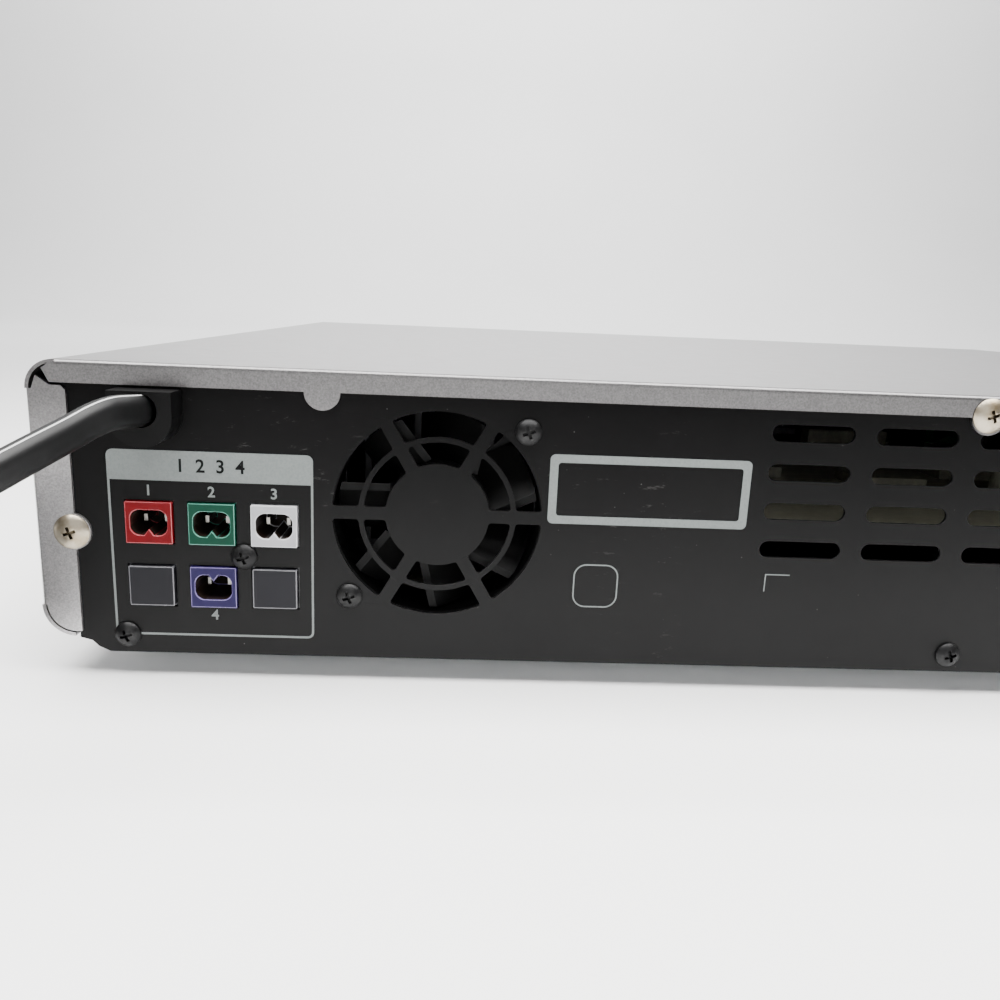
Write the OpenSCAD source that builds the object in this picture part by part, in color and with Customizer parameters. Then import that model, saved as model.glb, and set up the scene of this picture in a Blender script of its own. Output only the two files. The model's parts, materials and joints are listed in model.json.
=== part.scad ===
// Disc player and receiver in a wrapped steel case, with a motor driven disc tray.
// +Z is up, the front faces -Y, and Z = 0 is the surface that the feet stand on.

/* [Case] */
// Overall width of the case
case_w = 430; // [424:1:450]
// Height from the underside of the chassis to the top of the cover
case_h = 67.5; // [66.5:0.5:76]
// Depth from the front face to the outside of the rear panel
case_d = 356; // [352:1:380]
// Thickness of the cover's sheet steel
cover_t = 0.8; // [0.6:0.1:1]
// Outer radius of the cover's top corners
cover_rt = 6.5; // [5:0.5:8]
// Outer radius of the cover's bottom corners
cover_rb = 7.5; // [6:0.5:8]
// Height of the cover's lower edge above the underside of the chassis
cover_rise = 3.9; // [3.5:0.1:4.5]
// Width of the flange along the top of the cover's back edge
top_flange = 5; // [4:0.5:5.5]
// Width of the flanges down the sides of the cover's back edge
side_flange = 8.6; // [8:0.2:9.4]
// Thickness of the rear panel
panel_t = 1; // [0.8:0.1:1.2]
// Thickness of the chassis plate
base_t = 0.8; // [0.6:0.1:1.2]

/* [Feet] */
// Height of each foot
foot_h = 6; // [4:0.5:12]
// Diameter of each foot
foot_d = 26; // [20:1:32]
// Distance between the left and right feet
foot_x = 340; // [320:5:360]
// Distance between the front and back feet
foot_y = 280; // [260:5:290]

/* [Front panel] */
// Depth of the front moulding
front_d = 22; // [20:1:22]
// Wall of the front moulding
front_wall = 2.5; // [2:0.1:3]
// Width of the display window
window_w = 134; // [110:1:140]
// Height of the display window
window_h = 19; // [16:0.5:21]
// Diameter of the volume knob
knob_d = 38; // [30:1:42]
// How far the volume knob stands out of the front
knob_out = 12; // [8:0.5:16]
// Diameter of the power button
power_d = 15; // [12:0.5:18]
// Length of each small button
button_l = 15; // [12:0.5:17]
// Height of each small button
button_h = 6; // [5:0.5:7]
// How far each button stands out of the front
button_out = 1.6; // [1.2:0.1:2.5]
// How far each button travels
button_travel = 0.8; // [0.5:0.1:1]
// Radius of the headphone socket's bore
phone_r = 3.2; // [3.2:0.1:3.6]

/* [Rear panel] */
// Outer radius of the fan grille
grille_r = 24; // [22:0.5:24]
// Radius of the closed disc in the middle of the grille
grille_hub = 11.9; // [10:0.1:13]
// Width of the grille's spokes
spoke_w = 3; // [2.4:0.2:3.6]
// Length of each vent slot
vent_l = 19.3; // [16:0.1:21]
// Height of each vent slot
vent_h = 4; // [3:0.2:5]
// Columns of vent slots
vent_cols = 4; // [2:1:4]
// Rows of vent slots
vent_rows = 4; // [2:1:4]
// Width of a loudspeaker socket's face
socket_w = 10.4; // [10:0.1:11]
// Height of a loudspeaker socket's face
socket_h = 9.7; // [9.4:0.1:10.5]
// Gap between neighbouring loudspeaker sockets' centres, across
socket_px = 14; // [13:0.5:15]
// Gap between neighbouring loudspeaker sockets' centres, upright
socket_pz = 15; // [14:0.5:16]
// How far the phono sockets stand out of the rear panel
phono_out = 8.5; // [7.5:0.5:10]

/* [Fan] */
// Side of the fan's square frame
fan_side = 50; // [50:1:52]
// Thickness of the fan's frame
fan_t = 15; // [10:1:20]
// Blades on the rotor
fan_blades = 7; // [5:1:9]

/* [Tray] */
// Width of the tray
tray_w = 132; // [130:1:134]
// How far the tray slides out
tray_travel = 138; // [120:1:138]
// Thickness of the tray
tray_t = 6; // [5.6:0.1:6.2]
// Diameter of the large disc's recess
disc_d = 121; // [120.6:0.1:122]
// Diameter of the small disc's recess
small_disc_d = 81; // [80.6:0.1:82]
// Width of the window for the turntable and the pickup
tray_slot_w = 44; // [42:0.5:46]
// Width of the cap on the front of the tray
bezel_w = 140; // [138:1:146]
// Height of the cap on the front of the tray
bezel_h = 15; // [14.6:0.2:16]

/* [Tray drive] */
// Module of the drive's teeth
tooth_m = 1; // [1:0.05:1]
// Teeth on the gear that drives the rack
tray_teeth = 24; // [22:1:26]
// Teeth on the gear under the large pulley
pulley_teeth = 14; // [13:1:16]
// Diameter of the large pulley
pulley_d = 26; // [22:1:26]
// Diameter of the motor's pulley
motor_pulley_d = 8; // [6:0.5:9]
// Thickness of the round belt
belt_t = 1.6; // [1.2:0.1:1.8]
// How far the cam slider moves sideways
cam_travel = 14; // [12:1:14]
// How far the cam lets down the deck's front pin
cam_drop = 9; // [6:0.5:9]

/* [Traverse deck] */
// Thickness of the deck
deck_t = 2.5; // [2:0.1:3]
// Diameter of the turntable
turntable_d = 30; // [28:0.5:32]
// Diameter of the pickup's guide rods
rod_d = 3; // [2.5:0.1:3.2]
// How far the pickup travels
sled_travel = 35; // [30:1:35]
// Teeth on the feed gear
feed_teeth = 18; // [16:1:20]
// Teeth on the feed motor's pinion
pinion_teeth = 12; // [11:1:13]

/* [Mains cord] */
// Diameter of the mains cord
cord_d = 7; // [6:0.2:7]

/* [Hidden] */
$fn = 48;

eps = 0.01;
fit_gap = 0.3; // between a moving piece and what it moves in
seam = 0.5; // between a button, cap or window and its opening
run_gap = 0.06; // radial clearance of a shaft in its bore
board_t = 1.6; // thickness of every circuit board
top_z = foot_h + case_h;
half_w = case_w / 2;
overall_d = case_d + knob_out + phono_out;
y_back = overall_d / 2 - phono_out; // outside of the rear panel
y_front = y_back - case_d; // front face
y_seam = y_front + front_d; // where the cover meets the front moulding
y_in = y_back - panel_t; // inside of the rear panel
cover_lo = foot_h + cover_rise;
base_top = foot_h + base_t;
lip_x = half_w - 10; // inner edge of the cover's lower lip

// ---- shared shapes ----

// A slab whose outline is drawn in X and Z, from y0 back by t.
module slab_y(y0, t) translate([0, y0 + t, 0]) rotate([90, 0, 0]) linear_extrude(t) children();

// A bar whose outline is drawn in Y and Z, from x0 by l.
module slab_x(x0, l) translate([x0, 0, 0]) rotate([90, 0, 90]) linear_extrude(l) children();

// A plate whose outline is drawn in X and Y, from z0 up by t.
module slab_z(z0, t) translate([0, 0, z0]) linear_extrude(t) children();

module rounded_rect(w, h, r) {
    square([w - 2 * r, h], center = true);
    square([w, h - 2 * r], center = true);
    for (x = [-1, 1], y = [-1, 1])
        translate([x * (w / 2 - r), y * (h / 2 - r)]) circle(r);
}

module obround(l, h) {
    square([l - h, h], center = true);
    for (x = [-1, 1]) translate([x * (l - h) / 2, 0]) circle(h / 2);
}

module tube(r_out, r_in, h) {
    difference() {
        cylinder(r = r_out, h = h);
        translate([0, 0, -1]) cylinder(r = r_in, h = h + 2);
    }
}

// ---- gear teeth: stub involutes with a pressure angle of 25 degrees ----

tooth_angle = 25;
tooth_up = 0.8; // addendum over the module
tooth_down = 1.1; // dedendum over the module
backlash = 0.16; // taken off the thickness of every tooth
flank_steps = 4;

function pitch_r(teeth) = tooth_m * teeth / 2;
function inv_deg(a) = tan(a) * 180 / PI - a;
function flank_half_angle(teeth, r) =
    let (base_r = pitch_r(teeth) * cos(tooth_angle))
    (90 - 90 * backlash / (PI * tooth_m / 2)) / teeth
        + inv_deg(tooth_angle) - inv_deg(acos(min(1, base_r / max(r, base_r))));
function tooth_points(teeth, k) =
    let (
        root = pitch_r(teeth) - tooth_down * tooth_m,
        low = max(root + 0.1, pitch_r(teeth) * cos(tooth_angle)),
        tip = pitch_r(teeth) + tooth_up * tooth_m,
        rs = concat([root], [for (i = [0:flank_steps]) low + (tip - low) * i / flank_steps])
    )
    concat(
        [for (r = rs) let (a = 360 * k / teeth - flank_half_angle(teeth, r)) [r * cos(a), r * sin(a)]],
        [for (i = [len(rs) - 1:-1:0])
            let (a = 360 * k / teeth + flank_half_angle(teeth, rs[i])) [rs[i] * cos(a), rs[i] * sin(a)]]
    );

module gear_outline(teeth) polygon([for (k = [0:teeth - 1]) each tooth_points(teeth, k)]);

// The turn that puts gear B in mesh with gear A, which is turned by turn_a.
// phi is the angle of the line from gear B back to gear A.
function mesh_turn(teeth_a, turn_a, phi, teeth_b) =
    phi + 180 - 360 / teeth_b * (0.5 - (phi - turn_a) * teeth_a / 360);

// A rack along +Y whose teeth point to +X, with a tooth centred at y = 0 and the pitch line at x = 0.
module rack_outline(count, back) {
    p = PI * tooth_m;
    half = (p - 2 * backlash) / 4;
    up = tooth_up * tooth_m;
    down = tooth_down * tooth_m;
    slope = tan(tooth_angle);
    polygon(concat(
        [[-back, -p / 2]],
        [for (k = [0:count - 1]) each [
            [-down, k * p - half - down * slope], [up, k * p - half + up * slope],
            [up, k * p + half - up * slope], [-down, k * p + half + down * slope]
        ]],
        [[-back, (count - 0.5) * p]]
    ));
}

// ---- disc loader: places and heights ----

tray_z = foot_h + 40; // underside of the tray
tray_top = tray_z + tray_t;
bezel_t = 4;
tray_y = y_front + bezel_t; // front of the tray, behind its cap
disc_margin = 2.5; // from the tray's front to the disc's recess
disc_y = tray_y + disc_margin + disc_d / 2; // centre of the disc
tray_l = 200;
disc_deep = 2;
small_disc_deep = 1;

frame_in = tray_w / 2 + seam; // inside of the loader's side walls
frame_wall = 2.5;
frame_y = y_seam + 4;
frame_l = 182;
bed_z = foot_h + 18; // underside of the loader's bed
bed_t = 2.5;
bed_top = bed_z + bed_t;
bridge_z = tray_top + 3.6;
bridge_t = 1.2;
loader_y = disc_y + 40; // the middle of the bottom vents

rack_x = -tray_w / 2 + 10; // pitch line of the tray's rack
rack_h = 5.5;
drive_x = rack_x + pitch_r(tray_teeth);
drive_y = frame_y + 18; // axis of the tray's gear
pulley_y = drive_y + pitch_r(tray_teeth) + pitch_r(pulley_teeth);
motor_y = pulley_y + pulley_d / 2 + 17;
post_r = 2;
pulley_z = bed_top + 1.5;
pulley_h = 4;
gear_z = pulley_z + pulley_h + 0.6; // underside of the tray's gear
gear_top = tray_z - 0.4;
tooth_pitch = PI * tooth_m;
rack_before = 2; // teeth in front of the mesh when the tray is shut
rack_count = ceil(tray_travel / tooth_pitch) + 2 * rack_before + 1;
tray_gear_turn = 180 - 180 / tray_teeth;
pulley_gear_turn = mesh_turn(tray_teeth, tray_gear_turn, -90, pulley_teeth);

deck_z = foot_h + 31.5; // underside of the traverse deck
deck_top = deck_z + deck_t;
deck_x0 = -30;
deck_x1 = 46;
deck_y0 = frame_y + 11.6;
pivot_y = disc_y + 95; // hinge line of the deck
pivot_z = deck_z + deck_t / 2;
pivot_r = 2;
pivot_l = 6;
cam_pin_x = 8;
cam_pin_r = 1.5;

slider_y = frame_y + 2.8;
slider_t = 4;
slider_x0 = -24;
slider_x1 = 30;
slider_z0 = bed_top - 0.2;
slider_z1 = deck_top + 2;
cam_pin_reach = pivot_y - slider_y - slider_t / 2;
cam_slot_gap = 0.4;

turntable_z = tray_top - 1; // the face that the disc sits on
spindle_motor_r = 12;
shaft_r = 1;
lens_y = disc_y + 24; // the pickup's lens at the start of its travel
sled_half = 11;
rod_x = 15;
rod_z = deck_z - 3.5;
sled_rack_x = 22;
feed_x = sled_rack_x + pitch_r(feed_teeth);
feed_y = lens_y + 20;
pinion_y = feed_y + pitch_r(feed_teeth) + pitch_r(pinion_teeth);
feed_z = deck_top + 0.8;
feed_h = 3.6;
sled_rack_count = ceil(sled_travel / tooth_pitch) + 3;
feed_turn = 180 - 180 / feed_teeth;
pinion_turn = mesh_turn(feed_teeth, feed_turn, -90, pinion_teeth);

// ---- screws ----

screw_r = 1.5; // shank of every case screw
hole_r = 1.7; // the hole it passes
black_head = [3, 1.9]; // radius and height of a black screw's head
silver_head = [4, 1.7];
screw_l = 7; // shank of a screw into the chassis
short_screw_l = 6; // shank of a screw into plastic

// A domed head on the plane z = 0 with a cross recess, and a shank that goes down by length.
module screw(head, length) {
    dome_r = (head[0] * head[0] + head[1] * head[1]) / (2 * head[1]) + 0.6;
    difference() {
        union() {
            intersection() {
                cylinder(r = head[0], h = head[1]);
                translate([0, 0, head[1] - dome_r]) sphere(dome_r);
            }
            translate([0, 0, -length]) cylinder(r = screw_r, h = length + eps);
        }
        for (a = [0, 90])
            rotate([0, 0, a + 20]) translate([0, 0, head[1]]) cube([2.9, 0.7, 2.2], center = true);
    }
}

module screw_from_back(x, z, y, head, length) translate([x, y, z]) rotate([-90, 0, 0]) screw(head, length);

// ---- wrapped cover ----

module cover_outline(inset) {
    hw = half_w - inset;
    lo = cover_lo + inset;
    hi = top_z - inset;
    rt = cover_rt - inset;
    rb = cover_rb - inset;
    translate([-hw, lo + rb]) square([2 * hw, hi - lo - rt - rb]);
    translate([-hw + rt, hi - rt]) square([2 * (hw - rt), rt]);
    translate([-hw + rb, lo]) square([2 * (hw - rb), rb]);
    for (s = [-1, 1]) {
        translate([s * (hw - rt), hi - rt]) circle(rt);
        translate([s * (hw - rb), lo + rb]) circle(rb);
    }
}

module cover_shell_outline() difference() {
    cover_outline(0);
    cover_outline(cover_t);
    translate([-lip_x, cover_lo - 1]) square([2 * lip_x, 5]);
}

flange_z = top_z - top_flange; // lower edge of the top flange
flange_x = half_w - side_flange; // inner edge of the side flanges
cover_tab_r = 4;
spare_tab_x = half_w - 64;
side_screw_z = foot_h + 29;
corner_gap = 0.4;

// The top flange narrows to a point inside each corner.
module top_flange_outline() {
    x1 = half_w - cover_rt;
    polygon([
        [-x1, top_z], [-x1 - 2.7, top_z - 2], [-x1 - 1.2, flange_z],
        [x1 + 1.2, flange_z], [x1 + 2.7, top_z - 2], [x1, top_z]
    ]);
    for (x = [-spare_tab_x, 0, spare_tab_x]) translate([x, flange_z]) circle(cover_tab_r);
}

module side_flange_outline() {
    arc_z = top_z - cover_rt;
    intersection() {
        polygon([
            [flange_x, cover_lo], [flange_x, flange_z - 1.6], [flange_x + 1, flange_z - 0.6],
            [flange_x + 3.3, flange_z - 0.6], [half_w - 2.4, flange_z + 1.4], [half_w - 1.4, arc_z],
            [half_w, arc_z], [half_w, cover_lo + cover_rb], [half_w, cover_lo]
        ]);
        union() {
            cover_outline(cover_t + corner_gap);
            translate([flange_x - 1, cover_lo + cover_rb])
                square([side_flange + 1, arc_z - cover_lo - cover_rb]);
        }
    }
    translate([flange_x + 0.8, side_screw_z]) circle(cover_tab_r + 0.3);
}

// What the rounded bend takes off a square outer edge, drawn at its corner.
module bend_cut_outline(r) difference() {
    translate([-r, -r]) square(2 * r);
    translate([-r, -r]) circle(r);
}

module top_cover() color("silver") difference() {
    bend_r = 1.1;
    y_edge = y_back + cover_t;
    union() {
        slab_y(y_seam, y_edge - y_seam) cover_shell_outline();
        slab_y(y_back, cover_t) {
            top_flange_outline();
            side_flange_outline();
            mirror([1, 0]) side_flange_outline();
        }
    }
    slab_x(-half_w + cover_rt, 2 * (half_w - cover_rt))
        translate([y_edge, top_z]) bend_cut_outline(bend_r);
    for (s = [0, 1]) mirror([s, 0, 0])
        slab_z(cover_lo + cover_rb, top_z - cover_rt - cover_lo - cover_rb)
            translate([half_w, y_edge]) bend_cut_outline(bend_r);
    for (x = [-1, 0, 1]) translate([x * cover_screw_x, y_edge + 1, x == 0 ? cover_screw_z : side_screw_z])
        rotate([90, 0, 0]) cylinder(r = hole_r, h = 4);
    // the lips stop short of the rear panel
    translate([-half_w + cover_rb - corner_gap, y_in - fit_gap, cover_lo - 1])
        cube([2 * (half_w - cover_rb + corner_gap), 20, cover_t + 1 + corner_gap]);
}

cover_screw_x = half_w - 7.9;
cover_screw_z = top_z - 4.5;

module cover_screws() color("gainsboro") for (x = [-1, 0, 1])
    screw_from_back(
        x * cover_screw_x, x == 0 ? cover_screw_z : side_screw_z, y_back + cover_t, silver_head, screw_l
    );

// ---- chassis ----

base_flat_x = half_w - 14.5; // the flat bottom's half width
base_edge_x = half_w - 7.8; // outer edge of the raised side strips
base_step = cover_rise - base_t; // how far the side strips are raised
base_front_y = y_seam + 2;
base_back_y = y_in;
upturn_h = 9;
foot_peg_r = 2.5;
chassis_rib_x = [95, 150]; // the long ribs, either side of the middle
chassis_rib_w = 6;
chassis_rib_h = 1.2;
chassis_rib_end = 30; // from the front edge to the ribs
base_slot_x = [72, 84, 108, 120]; // the bottom vents, either side of the middle
base_slot_l = 26;
base_slot_w = 3.5;
base_slot_y = 22; // from the middle of the vents to each row
board_post_r = 3;

module base_section(t) polygon([
    [-base_edge_x, base_step + t], [-base_edge_x, base_step], [-base_flat_x - 3.6, base_step],
    [-base_flat_x, 0], [base_flat_x, 0], [base_flat_x + 3.6, base_step], [base_edge_x, base_step],
    [base_edge_x, base_step + t], [base_flat_x + 3.6 - t / 2, base_step + t],
    [base_flat_x - t / 2, t], [-base_flat_x + t / 2, t], [-base_flat_x - 3.6 + t / 2, base_step + t]
]);

// The chassis: a jogged plate with upturned ends, long ribs and rows of bottom vents.
module chassis_base() color("lightgray") {
    rib_y = base_front_y + chassis_rib_end;
    difference() {
        union() {
            slab_y(base_front_y, base_back_y - base_front_y) translate([0, foot_h]) base_section(base_t);
            for (y = [base_front_y, base_back_y - base_t]) slab_y(y, base_t)
                translate([-base_flat_x + 2, foot_h]) square([2 * base_flat_x - 4, upturn_h]);
            for (s = [-1, 1], x = chassis_rib_x)
                translate([s * x - chassis_rib_w / 2, rib_y, base_top - eps])
                    cube([chassis_rib_w, base_back_y - 2 * chassis_rib_end - rib_y, chassis_rib_h]);
            board_posts();
        }
        for (s = [-1, 1], x = base_slot_x, row = [-1, 1])
            slab_z(foot_h - 1, base_t + 2) translate([s * x, loader_y + row * base_slot_y])
                rotate(90) obround(base_slot_l, base_slot_w);
        for (x = [-1, 0, 1]) translate([x * panel_screw_x, y_back + 1, panel_screw_z])
            rotate([90, 0, 0]) cylinder(r = hole_r, h = 6);
        for (x = [-1, 1], y = [-1, 1]) translate([x * foot_x / 2, y * foot_y / 2, foot_h - 1])
            cylinder(r = foot_peg_r + 0.05, h = 4);
    }
}

module feet() color("dimgray") for (x = [-1, 1], y = [-1, 1]) translate([x * foot_x / 2, y * foot_y / 2, 0]) {
    cylinder(r1 = foot_d / 2 - 1, r2 = foot_d / 2, h = 1);
    translate([0, 0, 1 - eps]) cylinder(r = foot_d / 2, h = foot_h - 1 + eps);
    cylinder(r = foot_peg_r, h = foot_h + base_t + 1);
}

// ---- rear panel ----

grille_x = half_w - 90;
grille_z = foot_h + 35.3;
grille_gap = [16.9, 18.1]; // the ring between the inner and the outer slots
fan_hole = fan_side / 2 - 5; // from the fan's centre to its screws
vent_px = vent_l + 5.05;
vent_pz = 9.17;
vent_x0 = 39.7; // centre of the first column
vent_z0 = foot_h + 57.2; // centre of the top row
socket_x0 = half_w - 25; // centre of the first column of sockets
socket_z0 = foot_h + 31.6; // centre of the upper row of sockets
bush_x = half_w - 26.5;
bush_z = foot_h + 56.6;
bush_r = 6.8;
panel_screw_x = half_w - 18.8;
panel_screw_z = foot_h + 4.5;
board_screw = [socket_x0 - 1.5 * socket_px, socket_z0 - socket_pz / 2];
phono_r = 4.15;
phono_px = 14;
phono_pz = 13.5;
phono_x0 = -66; // centre of the first column of phono sockets
phono_z0 = foot_h + 41; // centre of the lower row
phono_at = [for (i = [0:3], j = [0:1]) [phono_x0 - phono_px * i, phono_z0 + phono_pz * j]];
aerial_x = -half_w + 69;
aerial_z = foot_h + 48;
clip_x = -half_w + 37;
clip_z = foot_h + 44;

// One grille slot about +X, between radii r0 and r1, with corners rounded by c.
module grille_slot(r0, r1, c) {
    hw = spoke_w / 2;
    span = 60;
    function corner_a(r) = asin((hw + c) / r);
    intersection() {
        difference() {
            circle(r1 - c);
            circle(r0 + c);
        }
        wedge(span, hw);
    }
    intersection() {
        difference() {
            circle(r1);
            circle(r0);
        }
        wedge(span, hw + c);
    }
    for (r = [r0 + c, r1 - c], s = [-1, 1])
        rotate(s * (span / 2 - corner_a(r))) translate([r, 0]) circle(c, $fn = 16);
}

// The part of a sector of the given angle about +X that stays hw clear of both of its sides.
module wedge(span, hw) {
    x0 = hw / sin(span / 2);
    far = 2 * grille_r;
    polygon([[x0, 0], [far, (far - x0) * tan(span / 2)], [far, -(far - x0) * tan(span / 2)]]);
}

module grille_outline() for (a = [0:60:300]) rotate(a + 30) {
    grille_slot(grille_hub, grille_gap[0], 0.7);
    grille_slot(grille_gap[1], grille_r, 0.7);
}

module socket_places() for (i = [0:2], j = [0, 1])
    translate([socket_x0 - i * socket_px, socket_z0 - j * socket_pz]) children();

module bush_outline(r) {
    intersection() {
        circle(r);
        translate([-r, -r]) square([2 * r, r]);
    }
    translate([-r, 0]) square([2 * r, flange_z - 0.6 - bush_z + (r - bush_r)]);
}

module panel_outline() difference() {
    polygon([
        [-base_flat_x, foot_h], [base_flat_x, foot_h], [base_flat_x + 2.6, foot_h + 1.2],
        [base_flat_x + 4, foot_h + 2.6], [base_edge_x, foot_h + 3.3], [base_edge_x, cover_lo + 10],
        [half_w - 3, cover_lo + 10], [half_w - 3, top_z - 10], [base_edge_x, top_z - 5],
        [base_edge_x, top_z - cover_t], [-base_edge_x, top_z - cover_t], [-base_edge_x, top_z - 5],
        [-half_w + 3, top_z - 10], [-half_w + 3, cover_lo + 10], [-base_edge_x, cover_lo + 10],
        [-base_edge_x, foot_h + 3.3], [-base_flat_x - 4, foot_h + 2.6], [-base_flat_x - 2.6, foot_h + 1.2]
    ]);
    translate([grille_x, grille_z]) grille_outline();
    for (i = [0:vent_cols - 1], j = [0:vent_rows - 1])
        translate([vent_x0 - i * vent_px, vent_z0 - j * vent_pz]) obround(vent_l, vent_h);
    socket_places() square([socket_w + 0.6, socket_h + 0.6], center = true);
    translate([bush_x, bush_z]) bush_outline(bush_r - 1.4);
    for (p = phono_at) translate(p) circle(phono_r + 0.4);
    translate([aerial_x, aerial_z]) circle(aerial_r + 0.3);
    translate([clip_x, clip_z]) square([clip_w + 0.4, clip_h + 0.4], center = true);
    for (x = [-1, 0, 1]) translate([x * panel_screw_x, panel_screw_z]) circle(hole_r);
    for (x = [-1, 0, 1]) translate([x * cover_screw_x, x == 0 ? cover_screw_z : side_screw_z]) circle(hole_r);
    translate(board_screw) circle(hole_r);
    for (s = [-1, 1]) translate([grille_x - s * fan_hole, grille_z + s * fan_hole]) circle(hole_r);
}

module rear_panel() color([0.12, 0.12, 0.12]) slab_y(y_in, panel_t) panel_outline();

module panel_screws() color([0.2, 0.2, 0.2]) {
    for (x = [-1, 0, 1]) screw_from_back(x * panel_screw_x, panel_screw_z, y_back, black_head, screw_l);
    screw_from_back(board_screw[0], board_screw[1], y_back, black_head, short_screw_l);
    for (s = [-1, 1])
        screw_from_back(grille_x - s * fan_hole, grille_z + s * fan_hole, y_back, black_head, short_screw_l);
}

// ---- loudspeaker sockets ----

socket_out = 0.8; // how far a socket's face stands out of the panel
socket_deep = 11; // depth of its well
socket_long = 15; // depth of its body
well_w = 8.3;
well_h = 5.9;
pin_spread = 4.7;
pin_out = 6; // length of each pin inside the well
pin_w = 0.8;
pin_h = 1.6;

module well_outline() difference() {
    rounded_rect(well_w, well_h, 2.2);
    polygon([[-1.2, -well_h / 2 - 0.1], [0, -well_h / 2 + 1.5], [1.2, -well_h / 2 - 0.1]]);
}

module socket_body(x, z, turn) {
    y_face = y_back + socket_out;
    translate([x, y_face, z]) rotate([90, turn, 0]) difference() {
        union() {
            linear_extrude(socket_out + panel_t + 0.4) square([socket_w, socket_h], center = true);
            translate([0, 0, socket_out + panel_t])
                linear_extrude(socket_long - socket_out - panel_t)
                    square([socket_w + 2, socket_h + 2], center = true);
        }
        translate([0, 0, -1]) linear_extrude(socket_deep + 1) well_outline();
        for (s = [-1, 1]) translate([s * pin_spread / 2, 0, 0])
            linear_extrude(socket_long + 1) square([pin_w + 0.1, pin_h + 0.1], center = true);
    }
}

module socket_red() color("crimson") socket_body(socket_x0, socket_z0, 0);
module socket_green() color("seagreen") socket_body(socket_x0 - socket_px, socket_z0, 0);
module socket_white() color("whitesmoke") socket_body(socket_x0 - 2 * socket_px, socket_z0, 0);
module socket_purple() color("slateblue") socket_body(socket_x0 - socket_px, socket_z0 - socket_pz, 180);

// The places of the pins, pointing to -Y from y.
module pin_places(y) for (p = [[0, 0], [1, 0], [2, 0], [1, 1]], s = [-1, 1])
    translate([socket_x0 - p[0] * socket_px + s * pin_spread / 2, y, socket_z0 - p[1] * socket_pz])
        rotate([90, 0, 0]) children();

module socket_pins() color("silver") pin_places(y_back + socket_out - socket_deep + pin_out)
    linear_extrude(pin_out + socket_long - socket_deep + 2.5) square([pin_w, pin_h], center = true);

module socket_blanks() color([0.24, 0.24, 0.27]) for (i = [0, 2])
    translate([socket_x0 - i * socket_px, 0, socket_z0 - socket_pz]) {
        slab_y(y_in - 0.4, panel_t + 1.2) square([socket_w - 0.2, socket_h - 0.2], center = true);
        slab_y(y_in - 3, 3 - eps) square([socket_w + 2, socket_h + 2], center = true);
    }

socket_board_y = y_back + socket_out - socket_long - board_t;

module socket_board() color([0.62, 0.5, 0.3]) difference() {
    slab_y(socket_board_y, board_t) translate([socket_x0 - socket_px, socket_z0 - socket_pz / 2])
        square([3 * socket_px + 2, 2 * socket_pz + 2], center = true);
    pin_places(y_back) linear_extrude(socket_long + 6) square([pin_w + 0.2, pin_h + 0.2], center = true);
    translate([board_screw[0], y_back, board_screw[1]]) rotate([90, 0, 0])
        cylinder(r = hole_r, h = socket_long + 6);
}

// ---- fan and heat sink ----

fan_ring_r = fan_side / 2 - 1.2;
fan_hub_r = 12;
fan_plate = 2.5; // thickness of the motor's plate and its struts
fan_shaft_r = 1.5;
strut_w = 2.6;

// Stands with its axis along Y and its mouth against the rear panel.
module fan_place() translate([grille_x, y_in, grille_z]) rotate([90, 0, 0]) children();

module fan_frame() color([0.16, 0.16, 0.17]) fan_place() {
    linear_extrude(fan_t) difference() {
        rounded_rect(fan_side, fan_side, 3);
        circle(fan_ring_r);
        for (x = [-1, 1], y = [-1, 1]) translate([x * fan_hole, y * fan_hole]) circle(screw_r + 0.1);
    }
    translate([0, 0, fan_t - fan_plate]) linear_extrude(fan_plate) {
        circle(fan_hub_r);
        for (a = [45:90:315]) rotate(a)
            translate([fan_hub_r - 1, -strut_w / 2]) square([fan_ring_r - fan_hub_r + 1.5, strut_w]);
    }
    translate([0, 0, 3]) cylinder(r = fan_shaft_r, h = fan_t - 4);
}

module fan_rotor() color([0.22, 0.22, 0.24]) fan_place() {
    hub_lo = 1.2;
    hub_hi = fan_t - fan_plate - fit_gap;
    difference() {
        translate([0, 0, hub_lo]) cylinder(r = fan_hub_r, h = hub_hi - hub_lo);
        translate([0, 0, 2.6]) cylinder(r = fan_shaft_r + run_gap, h = fan_t);
    }
    intersection() {
        difference() {
            translate([0, 0, hub_lo + 0.4]) cylinder(r = fan_ring_r - 0.7, h = hub_hi - hub_lo - 0.8);
            cylinder(r = fan_hub_r - 0.6, h = fan_t);
        }
        for (k = [0:fan_blades - 1]) rotate([0, 0, 360 * k / fan_blades])
            translate([0, 0, (hub_lo + hub_hi) / 2]) rotate([48, 0, 0])
                translate([fan_hub_r - 1, -0.6, -fan_t]) cube([fan_ring_r - fan_hub_r + 1, 1.2, 2 * fan_t]);
    }
}

board_edge = 11; // from the sides of the case to the boards
power_board_z = base_top + 7;
power_board_x = frame_in + frame_wall + 17;
power_board_w = half_w - board_edge - power_board_x;
power_board_y = y_front + 44.25;
power_board_gap = 8; // from the power board to the socket board
power_board_l = socket_board_y - power_board_gap - power_board_y;
sink_w = 52;
sink_l = 50;
sink_fins = 9;
sink_fin_t = 1.6;
sink_fin_h = 38;
sink_base_z = 8;
sink_base_t = 4;
sink_gap = 12; // from the fan to the heat sink

module heatsink() color("silver") translate([grille_x - sink_w / 2, 0, power_board_z + board_t])
    slab_y(y_in - fan_t - sink_gap - sink_l, sink_l) {
        translate([0, sink_base_z]) square([sink_w, sink_base_t]);
        for (k = [0:sink_fins - 1])
            translate([k * (sink_w - sink_fin_t) / (sink_fins - 1), sink_base_z])
                square([sink_fin_t, sink_fin_h]);
        for (x = [0, sink_w - sink_base_t]) translate([x, 0]) square([sink_base_t, sink_base_z + eps]);
    }

// ---- boards ----

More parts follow.
